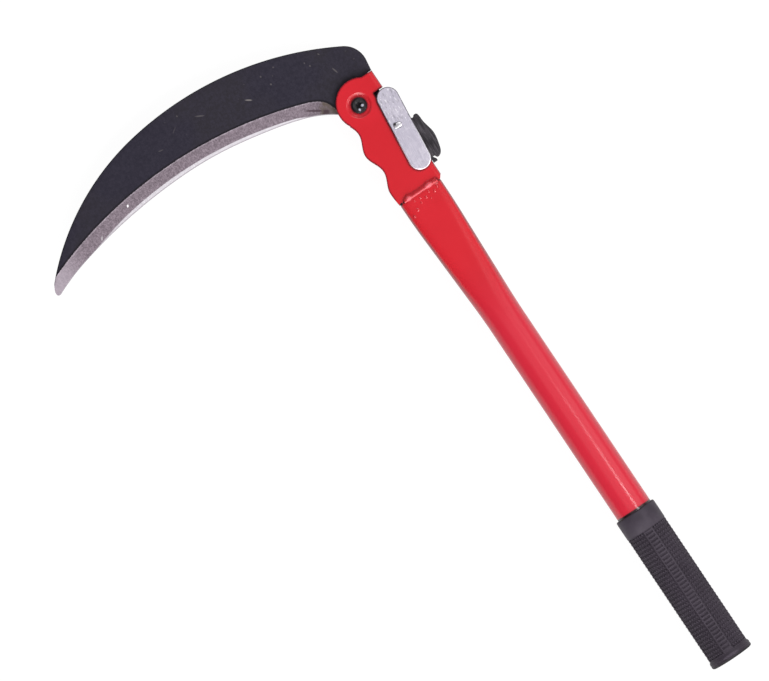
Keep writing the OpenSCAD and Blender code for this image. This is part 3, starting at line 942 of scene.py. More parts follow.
    def hone_x(self, y: float) -> float:
        """Gives the honed line's place at a height: a narrow strip at both ends of the edge.

        Args:
            y: the height.

        Returns:
            The place in front of the pivot.
        """
        edge = self.edge_x(y)
        widening = self.hone_least + self.hone_gain * max(0.0, y - self.hone_from)
        narrowing = self.hone_w - 0.2 - self.hone_loss * (y - self.hone_fade)
        width = max(self.hone_least, min(widening, narrowing, self.hone.x(y) - edge))
        return min(self.bevel_x(y) - 0.2, edge + width)

    def top(self, x: float, y: float) -> float:
        """Gives the height of the ground face.

        Args:
            x: place in front of the pivot.
            y: place to the side of the pivot.

        Returns:
            The height over the blade's middle plane.
        """
        half = self.thickness / 2
        if y <= self.heel_y:
            return half
        edge, line, hone = self.edge_x(y), self.bevel_x(y), self.hone_x(y)
        if x >= line:
            return half
        fade = min(1.0, (y - self.heel_y) / self.run_out)
        low = -half + self.edge_land
        z_hone = half - fade * (half - low - 0.29 * (hone - edge))
        z_edge = half - fade * (half - low)
        if x >= hone:
            return half + (z_hone - half) * (line - x) / (line - hone)
        return z_hone + (z_edge - z_hone) * (hone - max(x, edge)) / (hone - edge)


@dataclass(frozen=True)
class ForgedBlade(Finish):
    """Forge scale on the flat of the blade, a ground bevel and a honed strip along the edge."""

    slot: Slot = Slot.FORGED
    plan: BladePlan = BladePlan()
    pivot: Point = (0.0, 0.0)
    scale: Colour = (0.0165, 0.0140, 0.026, 1.0)
    scale_warm: Colour = (0.0195, 0.0165, 0.024, 1.0)
    scale_pale: Colour = (0.030, 0.026, 0.042, 1.0)
    scale_edge: Colour = (0.004, 0.003, 0.006, 1.0)
    fleck: Colour = (0.17, 0.155, 0.155, 1.0)
    ground: Colour = (0.29, 0.235, 0.275, 1.0)
    ground_dark: Colour = (0.09, 0.07, 0.085, 1.0)
    bare: Colour = (0.50, 0.44, 0.50, 1.0)
    honed: Colour = (0.60, 0.575, 0.61, 1.0)
    bright: Colour = (0.95, 0.93, 0.95, 1.0)
    edge_line: Colour = (0.36, 0.33, 0.36, 1.0)
    rust: Colour = (0.125, 0.098, 0.083, 1.0)
    smudge: Colour = (0.065, 0.038, 0.050, 1.0)
    across: Point = (0.5563, 0.8310)
    rust_from: float = 22.2
    over_back: Point = (-1.19, -1.14)
    # Painted highlights: white glints near the edge.
    glint_marks: tuple[Mark, ...] = (
        Mark((26.0, 142.4), (0.8, 0.5), 146.0), Mark((18.8, 165.1), (1.3, 0.5), 146.0, 0.25))
    scratches: tuple[Mark, ...] = (
        Mark((37.9, 51.0), (2.0, 0.45), 56.0), Mark((24.5, 0.3), (2.1, 0.45), 16.0, 0.4),
        Mark((34.6, 10.8), (0.6, 0.5), 0.0, 0.35), Mark((37.7, 12.6), (0.5, 0.4), 0.0, 0.35),
        Mark((37.5, 3.0), (0.7, 0.4), 30.0, 0.4), Mark((38.3, 35.3), (0.6, 0.5), 0.0, 0.45),
        Mark((45.2, 37.8), (0.6, 0.5), 0.0, 0.35), Mark((45.7, 28.8), (0.5, 0.5), 0.0, 0.35),
        Mark((45.9, 79.4), (2.6, 0.45), 62.0, 0.35), Mark((41.8, 109.0), (1.6, 0.4), 80.0, 0.25),
        Mark((53.1, 90.3), (0.5, 0.4), 0.0, 0.4))

    def placed(self, point: Point) -> Spot:
        """Gives a point of the plan in the object's millimetres."""
        return point[0] + self.pivot[0], point[1] + self.pivot[1], 0.0

    def distance(self, graph: Graph, place: Socket, arc: Arc) -> Socket:
        """Gives the distance outside one of the plan's arcs."""
        return graph.effect(Effect.ARC, place, Centre=self.placed(arc.centre), Radius=arc.radius)[0]

    def past_edge(self, graph: Graph, place: Socket, x: Socket, y: Socket) -> Socket:
        """Gives the distance behind the cutting edge.

        Args:
            graph: the material's graph.
            place: the object's coordinates in millimetres.
            x: the distance in front of the pivot.
            y: the distance to the side of the pivot.

        Returns:
            The distance in millimetres.
        """
        plan = self.plan
        lean, bend = plan.belly_bend
        past = y - plan.belly[1]
        drop = past * past.times(bend, lean)
        belly = x - plan.belly[0] - drop
        start = {0: y - plan.heel_y, 1: plan.hollow_len}
        share = graph.take("ShaderNodeMath", start, operation="DIVIDE", use_clamp=True)
        wave = graph.math("SINE", graph.math("SQRT", share) * math.pi)
        hollow = wave * wave * plan.hollow
        heel = self.distance(graph, place, plan.edge_heel) - hollow
        tip = self.distance(graph, place, plan.edge_tip)
        whole = graph.blend(graph.math("GREATER_THAN", y, plan.edge_mid), heel, tip)
        return graph.blend(graph.math("GREATER_THAN", past, 0.0), whole, belly)

    def past_bevel(self, graph: Graph, place: Socket, y: Socket) -> Socket:
        """Gives the distance behind the bevel's line, as the plan's past_bevel does."""
        low = self.plan.bevel_low - y
        return graph.math("SMOOTH_MAX", self.distance(graph, place, self.plan.bevel), low, self.plan.bevel_soft)

    def ground_steel(self, graph: Graph, place: Socket, line: Socket, y: Socket, grain: Socket) -> Socket:
        """Gives the bevel's colour.

        Args:
            graph: the material's graph.
            place: the object's coordinates in millimetres.
            line: the distance behind the bevel's line.
            y: the distance to the side of the pivot.
            grain: the fine grain.

        Returns:
            The colour, with its grinding marks, bare tip and stains.
        """
        bevel, tip_y = self.plan.bevel, self.plan.tip_y
        out, side, _ = graph.axes(graph.vector("SUBTRACT", place, self.placed(bevel.centre)))
        around = graph.math("ARCTAN2", side, out) * bevel.radius
        polar_place = graph.take("ShaderNodeCombineXYZ", {0: line, 1: around})
        marks, = graph.effect(Effect.STREAKS, polar_place, Stretch=(0.45, 1.5, 1.0))
        cloud = graph.band(graph.noise(place, 0.5, 5.0, 0.7), 0.35, 0.65)
        tone = marks * 0.30
        tone = cloud.times(0.30, graph.band(grain, 0.35, 0.65).times(0.40, tone))
        steel = graph.mix(tone, self.ground_dark, self.ground)
        lip = graph.band(line, -0.9, -0.25) * graph.blend(cloud, 0.1, 0.5)
        steel = graph.mix(lip, steel, self.bare)
        glints, = graph.effect(Effect.SPECKS, place, Scale=0.30, Size=0.14, Share=0.10)
        steel = graph.mix(glints * 0.7, steel, self.honed)
        steel = graph.mix(graph.band(y, tip_y - 27, tip_y - 2) * 0.45, steel, self.bare)
        return self.stained(graph, place, steel)

    def stained(self, graph: Graph, place: Socket, steel: Socket) -> Socket:
        """Adds the rust and the smudges of the heel, and the painted highlights near the edge.

        Args:
            graph: the material's graph.
            place: the object's coordinates in millimetres.
            steel: the ground steel's colour.

        Returns:
            The stained colour.
        """
        x, y, _ = graph.axes(graph.vector("SUBTRACT", place, (*self.pivot, 0.0)))
        cos, sin = self.across
        u = x.times(cos, y * sin)
        v = x.times(-sin, y * cos)
        wave = graph.noise(place, 0.6, 4.0) - 0.5
        wide = wave.times(4.0, u)
        u = wave.times(1.2, u)
        v = wave.times(0.9, v)
        stain = graph.band(graph.noise(place, 0.45, 4.0), 0.36, 0.62)
        near = graph.band(wide, self.rust_from + 1.4, self.rust_from - 1.6)
        steel = graph.mix(near * graph.blend(stain, 0.55, 1.0), steel, self.rust)
        streak = graph.band(graph.math("ABSOLUTE", v - 3.0), 0.85, 0.30)
        reach = graph.band(u, 31.8, 28.5) * graph.band(u, 20.5, 22.6)
        spot = graph.band(u, 21.4, 19.8) * graph.band(u, 16.2, 18.0)
        spot = spot * graph.band(v, 2.0, 2.9)
        steel = graph.mix((streak * reach | spot) * 0.85, steel, self.smudge)
        # Painted highlights: white glints near the edge.
        return graph.mix(graph.marked(place, self.glint_marks, self.pivot), steel, self.bright)

    def forge_scale(self, graph: Graph, place: Socket, mottle: Socket, along_bevel: Socket, rim: Socket) -> Socket:
        """Gives the forge scale's colour.

        Args:
            graph: the material's graph.
            place: the object's coordinates in millimetres.
            mottle: the fine mottle.
            along_bevel: where the scale is darker along the bevel.
            rim: where the surface rolls over the blade's edges.

        Returns:
            The colour, with painted shade on the rim and in the corners, darker along the bevel, with pale flecks and
            short scratches.
        """
        warm = graph.band(graph.noise(place, 0.022, 2.0), 0.42, 0.6)
        scale = graph.mix(warm, self.scale, self.scale_warm)
        scale = graph.mix(mottle * 0.7, scale, self.scale_pale)
        scale = graph.mix(along_bevel * 0.85, scale, self.scale_edge)
        flecks, = graph.effect(Effect.SPECKS, place, Scale=0.17, Size=0.14, Share=0.26)
        long = graph.scaled(graph.turned(place, 0.95), (0.16, 1.1, 1.0))
        scratches, = graph.effect(Effect.SPECKS, long, Scale=0.26, Size=0.15, Share=0.10)
        pale = (flecks | scratches) * 0.15
        pale = pale | graph.marked(place, self.scratches, self.pivot)
        # Painted shade in the corners, where the blade lies by the bracket.
        corners, = graph.effect(Effect.CORNER, place, Reach=2.5 * MM)
        painted_shade = rim | corners * 0.8
        return graph.mix(painted_shade, graph.mix(pale, scale, self.fleck), self.scale_edge)

    def dress(self, graph: Graph, place: Socket) -> dict[str, Value]:
        """Masks for the bevel and the honed strip, and each one's colour, roughness and grain.

        Args:
            graph: the material's graph.
            place: the object's coordinates in millimetres.

        Returns:
            What the shader's inputs take.
        """
        plan = self.plan
        x, y, z = graph.axes(place)
        x = x - self.pivot[0]
        y = y - self.pivot[1]
        ragged = (graph.noise(place, 0.9, 4.0) - 0.5) * 0.8
        line = self.past_bevel(graph, place, y)
        upper = graph.band(z, *self.over_back)
        ground = graph.band(line + ragged, 0.14, -0.14) * upper
        edge = self.past_edge(graph, place, x, y)
        wiped = graph.band(edge, 1.7, 1.2) * (1.0 - upper)
        ground = ground | wiped * graph.band(y, plan.heel_y + 2, plan.heel_y + 8)
        widening = (y - plan.hone_from | 0.0).times(plan.hone_gain, plan.hone_least)
        narrowing = (y - plan.hone_fade).times(-plan.hone_loss, plan.hone_w - 0.2)
        width = widening & narrowing
        strip = self.distance(graph, place, plan.hone) | (edge - width)
        strip = strip & (edge - plan.hone_least)
        honed = graph.band(ragged.times(0.35, strip + 0.1), 0.15, -0.15) * ground
        honed = honed * graph.blend(graph.band(y, plan.tip_y - 22, plan.hone_fade), 0.25, 1.0)
        fine, _ = graph.effect(Effect.GRAIN, place, Fine=1.3, Broad=0.05)
        mottle = graph.band(graph.noise(place, 0.5, 6.0, 0.75), 0.36, 0.66)
        steel = self.ground_steel(graph, place, line, y, fine)
        scaly = 1.0 - ground
        # Painted shade: the rounded back edges, turned away from facing up, are darkened nearly to black.
        rim = graph.band(graph.uprightness(), 0.97, 0.8) * scaly
        along_bevel = graph.band(line, 1.5, 0.5) * upper
        colour = graph.mix(ground, self.forge_scale(graph, place, mottle, along_bevel, rim), steel)
        colour = graph.mix(honed, colour, graph.mix(mottle * 0.3, self.honed, self.edge_line))
        keen = graph.band(edge, 0.8, 0.35) * ground * honed
        colour = graph.mix(keen, colour, self.edge_line)
        rough = graph.blend(ground, graph.blend(mottle, 0.62, 0.52), 0.5)
        return {"Base Color": colour, "Roughness": graph.blend(honed, rough, 0.32),
                "Metallic": ground * 0.35 | rim * 0.85, "Normal": graph.bump(fine, 0.03),
                "Specular IOR Level": 0.22}


# Mesh building


class MeshDraft:
    """Vertices in millimetres and faces, on their way to a mesh object."""

    def __init__(self) -> None:
        """Starts empty."""
        self.points: list[Vector] = []
        self.faces: list[tuple[int, ...]] = []

    def add(self, points: Iterable[Sequence[float]]) -> list[int]:
        """Adds points.

        Args:
            points: their places in millimetres.

        Returns:
            Their indices.
        """
        start = len(self.points)
        self.points.extend(Vector(point) for point in points)
        return list(range(start, len(self.points)))

    def bridge(self, first: Sequence[int], second: Sequence[int]) -> None:
        """Joins two rings of the same count with quads."""
        ahead = zip(first, [*first[1:], first[0]], [*second[1:], second[0]], second)
        self.faces.extend(ahead)

    def loft(self, rings: Sequence[Sequence[Spot]]) -> list[list[int]]:
        """Adds rings of points and joins each to the next.

        Args:
            rings: the rings, each of the same count.

        Returns:
            The indices of each ring.
        """
        indices = [self.add(ring) for ring in rings]
        for first, second in zip(indices, indices[1:]):
            self.bridge(first, second)
        return indices

    def solid(self, rings: Sequence[Sequence[Spot]]) -> None:
        """Adds rings, joins each to the next and closes both ends with one face."""
        indices = self.loft(rings)
        self.faces += [tuple(indices[0]), tuple(reversed(indices[-1]))]

    def build(self, name: str, smooth_deg: float = 50.0) -> Piece:
        """Makes the object, with outward normals and smooth shading between sharp edges.

        Args:
            name: the piece's name.
            smooth_deg: edges that turn more than this stay sharp.

        Returns:
            The object.
        """
        mesh = bpy.data.meshes.new(name)
        mesh.from_pydata([point * MM for point in self.points], [], self.faces)
        work = bmesh.new()
        work.from_mesh(mesh)
        bmesh.ops.remove_doubles(work, verts=work.verts, dist=MERGE_MM * MM)
        bmesh.ops.dissolve_degenerate(work, edges=work.edges, dist=1e-8)
        bmesh.ops.recalc_face_normals(work, faces=work.faces)
        work.to_mesh(mesh)
        work.free()
        return place_mesh(mesh, name, smooth_deg)


def place_mesh(mesh: bpy.types.Mesh, name: str, smooth_deg: float) -> Piece:
    """Links a mesh to the scene with smooth shading between sharp edges.

    Args:
        mesh: the mesh.
        name: the object's name.
        smooth_deg: edges that turn more than this stay sharp.

    Returns:
        The object.
    """
    mesh.polygons.foreach_set("use_smooth", [True] * len(mesh.polygons))
    mesh.set_sharp_from_angle(angle=math.radians(smooth_deg))
    return linked(name, mesh)


def linked(name: str, data: bpy.types.ID | None) -> Piece:
    """Makes an object and links it to the scene.

    Args:
        name: its name.
        data: its mesh, lamp or camera.

    Returns:
        The object.
    """
    made = bpy.data.objects.new(name, data)
    bpy.context.scene.collection.objects.link(made)
    return made


def framed(place: Vector, right: Vector, up: Vector, back: Vector) -> Matrix:
    """Gives the matrix that puts something at a place along three axes."""
    return Matrix.Translation(place) @ Matrix((right, up, back)).transposed().to_4x4()


def softened(node: Piece, name: str, width_mm: float, segments: int = 2) -> Piece:
    """Copies a CAD node's shape and breaks its sharp edges.

    Args:
        node: the CAD node's object.
        name: the new piece's name.
        width_mm: the width of the broken edges.
        segments: steps across each broken edge.

    Returns:
        The new object, whose flats are shaded flat and its broken edges smooth.
    """
    mesh = bpy.data.meshes.new(name)
    work = bmesh.new()
    work.from_mesh(node.data)
    bmesh.ops.remove_doubles(work, verts=work.verts, dist=MERGE_MM * MM)
    bmesh.ops.dissolve_limit(
        work, angle_limit=math.radians(0.5), verts=work.verts, edges=work.edges, delimit={"NORMAL"}
    )
    work.to_mesh(mesh)
    work.free()
    made = place_mesh(mesh, name, 180.0)
    bevel = made.modifiers.new("broken_edges", "BEVEL")
    bevel.width = width_mm * MM
    bevel.segments = segments
    bevel.limit_method = "ANGLE"
    bevel.angle_limit = math.radians(32)
    bevel.miter_outer = "MITER_ARC"
    bevel.use_clamp_overlap = True
    weigh = made.modifiers.new("flat_faces", "WEIGHTED_NORMAL")
    weigh.mode = "FACE_AREA"
    weigh.weight = 100
    return made


def span(first: float, last: float, step: float) -> list[float]:
    """Gives evenly spaced values from first to last, both included, about a step apart."""
    count = max(1, math.ceil(abs(last - first) / step))
    return [first + (last - first) * i / count for i in range(count + 1)]


def turns(first: float, last: float, step: float) -> list[float]:
    """Gives evenly spaced angles, in radians, between two in degrees."""
    return [math.radians(degrees) for degrees in span(first, last, step)]


def rounds(count: int, shift: float = 0.0) -> list[float]:
    """Gives the angles, in radians, of evenly spaced points round a circle."""
    return [math.tau * (i + shift) / count for i in range(count)]


# The handle


@dataclass
class PressedTube:
    """Round steel tube, pressed flat towards the head, where it keeps its perimeter."""

    mouth_x: float
    start_x: float = 3.0
    radius: float = 11.0
    wall: float = 1.4
    mouth_r: float = 6.03
    press_len: float = 68.0
    press_land: float = 14.0
    ease: float = 0.16
    squareness: float = 0.9
    lip: float = 0.7
    drift: float = 0.4

    def section_radius(self, x: float) -> float:
        """Gives the radius of the tube's two half circles at a place.

        Args:
            x: place along the handle.

        Returns:
            The radius, eased at both ends of the press.
        """
        share = (x - (self.mouth_x - self.press_land - self.press_len)) / self.press_len
        soft = self.ease
        if share <= -soft:
            eased = 0.0
        elif share < soft:
            eased = (share + soft) ** 2 / (4 * soft)
        elif share <= 1 - soft:
            eased = share
        elif share < 1 + soft:
            eased = 1 - (1 + soft - share) ** 2 / (4 * soft)
        else:
            eased = 1.0
        return self.radius + (self.mouth_r - self.radius) * eased

    def ring(self, x: float, inset: float) -> list[Spot]:
        """Gives the points round the tube at a place.

        Args:
            x: place along the handle.
            inset: depth below the outer skin.

        Returns:
            The points, both half circles and the flats between them.
        """
        r = self.section_radius(x)
        half = max(0.02, math.pi * (self.radius - r) / 2)
        reach = r - inset
        pressed = (self.radius - r) / (self.radius - self.mouth_r)
        power = 2 / (2 + self.squareness * pressed)
        points = []
        for side in (1, -1):
            for turn in turns(-90, 90, 5):
                out = reach * math.cos(turn) ** power
                up = math.copysign(abs(math.sin(turn)) ** power, turn) * reach
                points.append((x, side * (half + out) + self.drift * pressed, side * up))
            for share in (0.5, 0.0, -0.5):
                points.append((x, side * half * share + self.drift * pressed, side * reach))
        return points

    def build(self) -> Piece:
        """Lofts the outer skin, the rounded lip and the inner skin.

        Returns:
            The tube.
        """
        fine_x = self.mouth_x - self.press_land - self.press_len - 14
        stations = span(self.start_x, fine_x, 6)[:-1] + span(fine_x, self.mouth_x - self.lip, 1.5)
        rings = [self.ring(x, 0.0) for x in stations]
        for turn in turns(30, 90, 30):
            x = self.mouth_x - self.lip * (1 - math.sin(turn))
            rings.append(self.ring(x, self.lip * (1 - math.cos(turn))))
        rings.append(self.ring(self.mouth_x, self.wall - 0.2))
        rings.append(self.ring(self.mouth_x - 0.2, self.wall))
        rings += [self.ring(x, self.wall) for x in reversed(stations[::3])]
        draft = MeshDraft()
        indices = draft.loft(rings)
        draft.bridge(indices[-1], indices[0])
        return draft.build("pressed_tube", 35.0)


@dataclass
class RubberGrip:
    """Rubber sleeve with teeth, four ladder bands, a plain collar and a butt flange."""

    length: float = 101.5
    radius: float = 12.7
    flange_r: float = 13.3
    flange_len: float = 5.0
    butt_x: float = 0.45
    butt_corner: float = 1.3
    collar_len: float = 12.0
    bore_r: float = 11.05
    butt_wall: float = 3.0
    pitch: float = 2.45
    depth: float = 0.75
    band_half: float = 2.2
    ridge_w: float = 1.1
    channel_w: float = 0.8
    row_pitch: float = 1.75
    square_rows: float = 3.0
    columns: int = 384
    seed: int = 7
    flank: float = 0.30
    tooth_crown: float = 0.42
    square_crown: float = 0.5
    plain_depth: float = 0.16
    band_start: float = 0.12
    rung: Point = (0.06, 0.54)
    ridge: Point = (0.02, 0.22)
    tooth_top: float = 0.04
    waviness: float = 0.04

    def groove(self, phase: float, crown: float) -> float:
        """Gives a groove's depth, from 0 on the crown to 1, by the phase in the pitch and the crown's share."""
        away = abs(phase - 0.5) * 2
        return clamped((away - crown) / (self.flank * (1 - crown)))

    def relief(self, x: float, arc: float) -> float:
        """Gives the depth of the moulded pattern below the crowns.

        Args:
            x: place along the grip.
            arc: distance round the grip from the middle of the nearest ladder band.

        Returns:
            The depth in millimetres.
        """
        first = self.flange_len + 1.2
        last = self.length - self.collar_len
        tooth = self.groove(((last - x) / self.pitch) % 1.0, self.tooth_crown)
        side = abs(arc)
        ridge_end = self.band_half + self.ridge_w
        if x < first or x > last - 0.4:
            return self.plain_depth
        if side < self.band_half:
            return self.band_start if x < first + 1.0 else self.rung[0] + self.rung[1] * tooth
        if side < ridge_end:
            crown = abs(side - self.band_half - self.ridge_w / 2) / (self.ridge_w / 2)
            return self.ridge[0] + self.ridge[1] * crown**3
        if side < ridge_end + self.channel_w:
            return self.depth
        rows = (side - ridge_end - self.channel_w) / self.row_pitch
        square = self.groove((rows + 0.25) % 1.0, self.square_crown) if rows < self.square_rows else 0.0
        return self.tooth_top + (self.depth - 0.1) * max(tooth, square)

    def outline(self) -> list[tuple[float, float, bool]]:
        """Gives the outer rows of the grip.

        Returns:
            Place, radius and whether the row carries the pattern.
        """
        corner = self.butt_corner
        rows: list[tuple[float, float, bool]] = []
        for turn in turns(-90, 0, 15):
            x = self.butt_x + corner * (1 + math.sin(turn))
            rows.append((x, self.flange_r - corner * (1 - math.cos(turn)), False))
        dips = ((2.2, 0.0), (2.4, 0.22), (2.7, 0.22), (2.9, 0.0), (3.6, 0.03), (4.3, 0.22))
        rows += [(x, self.flange_r - dip, False) for x, dip in dips]
        last = self.length - self.collar_len
        rows += [(x, self.radius, True) for x in span(self.flange_len, last, self.pitch / 8)]
        collar = ((last + 0.15, self.radius), (last + 6, self.radius + 0.03), (self.length - 0.9, self.radius),
                  (self.length - 0.35, self.radius - 0.2), (self.length - 0.08, self.radius - 0.6),
                  (self.length, self.bore_r + 0.3), (self.length - 0.3, self.bore_r))
        rows += [(x, radius, False) for x, radius in collar]
        return rows

    def build(self) -> Piece:
        """Lofts the outside with its pattern, and closes the inside.

        Returns:
            The grip.
        """
        quarter = math.tau / 4
        rings = []
        for x, radius, patterned in self.outline():
            ring = []
            for turn in rounds(self.columns, 0.5):
                depth = 0.0
                if patterned:
                    arc = ((turn + quarter / 2) % quarter - quarter / 2) * self.radius
                    depth = self.relief(x, arc)
                flow = noise.noise(Vector((x * 0.08, math.sin(turn) * 1.3, math.cos(turn) * 1.3 + self.seed)))
                reach = radius - depth + self.waviness * flow
                ring.append((x, reach * math.sin(turn), reach * math.cos(turn)))
            rings.append(ring)
        inner = [polar(self.bore_r, turn) for turn in rounds(self.columns, 0.5)]
        rings.append([(self.butt_wall, y, z) for z, y in inner])
        draft = MeshDraft()
        draft.solid(rings)
        return draft.build("ribbed_grip")


@dataclass
class WeldBead:
    """Fillet weld between the tube's mouth and the bracket on one face: lumps, and a thin run between."""

    mouth_x: float
    face_z: float
    face: Face
    low: float = -11.6
    high: float = 11.2
    tube_step: float = 1.5
    crest_x: float = 0.45
    crest_h: tuple[float, float] = (0.24, 0.16)
    toe: tuple[float, float] = (0.55, 0.40)
    run: float = 2.2
    end_len: float = 1.3
    sink: float = 0.4
    lumps: tuple[Spot, ...] = (
        (8.0, 1.9, 1.5), (-5.8, 1.8, 1.6), (-9.3, 0.8, 0.7), (-11.0, 0.6, 0.5), (3.4, 0.3, 0.7))
    drops: tuple[Spot, ...] = (
        (-4.0, -6.7, 0.9), (-4.3, -0.8, 0.8), (-7.7, 7.3, 0.95), (-2.9, 2.5, 0.7), (-10.1, 11.0, 0.8),
        (-5.4, 3.2, 0.6), (-2.4, -3.6, 0.6), (-6.4, -3.0, 0.5), (-2.3, 6.1, 0.6), (-2.5, -9.4, 0.7))
    seed: int = 3

    def size(self, v: float) -> float:
        """Gives the bead's size at a place across the handle, 1 in its thin run."""
        share = 1.0 + sum(rise * math.exp(-(((v - at) / wide) ** 2)) for at, rise, wide in self.lumps)
        return share + 0.10 * noise.noise(Vector((v * 0.9, self.seed, 0.0)))

    def section(self, v: float) -> list[Point]:
        """Gives the bead's section at a place across the handle.

        Args:
            v: the place.

        Returns:
            Place behind the tube's mouth and height over the bracket, from the tube's toe to the bracket's.
        """
        size = self.size(v)
        away = min(v - self.low, self.high - v) / self.end_len
        end = math.sqrt(max(0.0, 1 - max(0.0, 1 - away) ** 2))
        wander = 0.18 * noise.noise(Vector((v * 0.35, self.seed + 5.0, 0.0)))
        rise = self.crest_h[0] + self.crest_h[1] * size
        crest = (self.crest_x + wander + 0.3 * (size - 1), self.tube_step + rise * end)
        toe = crest[0] - self.toe[0] - self.toe[1] * size
        run = self.run * (0.92 + 0.08 * size) * (0.55 + 0.45 * end)
        points = [(toe - 0.1, self.tube_step - 0.5)]
        for share in span(0.0, 1.0, 0.1):
            height = self.tube_step - 0.06 + (crest[1] - self.tube_step + 0.06) * math.sin(math.pi / 2 * share)
            points.append((toe + (crest[0] - toe) * share, height))
        for share in span(0.0, 1.0, 0.09)[1:]:
            rough = 0.03 * noise.noise(Vector((v * 1.6, share * 2.0, self.seed)))
            fall = 0.5 * (1 - share) ** 1.25 + 0.5 * math.cos(math.pi / 2 * share)
            points.append((crest[0] + run * share, crest[1] * fall - 0.06 * share + rough))
        return [*points, (crest[0] + run, -self.sink), (-0.6, -self.sink)]

    def build(self) -> Piece:
        """Lofts the bead's sections across the handle and adds the spatter.

        Returns:
            The bead.
        """
        side = self.face.value
        draft = MeshDraft()
        rings = []
        for v in span(self.low, self.high, 0.14):
            rings.append([(self.mouth_x + x, v, side * (self.face_z + z)) for x, z in self.section(v)])
        draft.solid(rings)
        self.add_spatter(draft)
        return draft.build(f"weld_seam_{self.face.name.lower()}")

    def add_spatter(self, draft: MeshDraft) -> None:
        """Adds drops of spatter on the flat of the tube beside the bead.

        Args:
            draft: the mesh that takes them.
        """
        top = self.face_z + self.tube_step
        for along, y, size in self.drops:
            x = self.mouth_x + along
            rings = []
            for turn in turns(0, 80, 20):
                reach = size * math.cos(turn)
                z = self.face.value * (top - 0.05 + 0.35 * size * math.sin(turn))
                rings.append([(x + 1.2 * reach * math.cos(t), y + reach * math.sin(t), z) for t in rounds(14)])
            draft.solid(rings)


# The blade


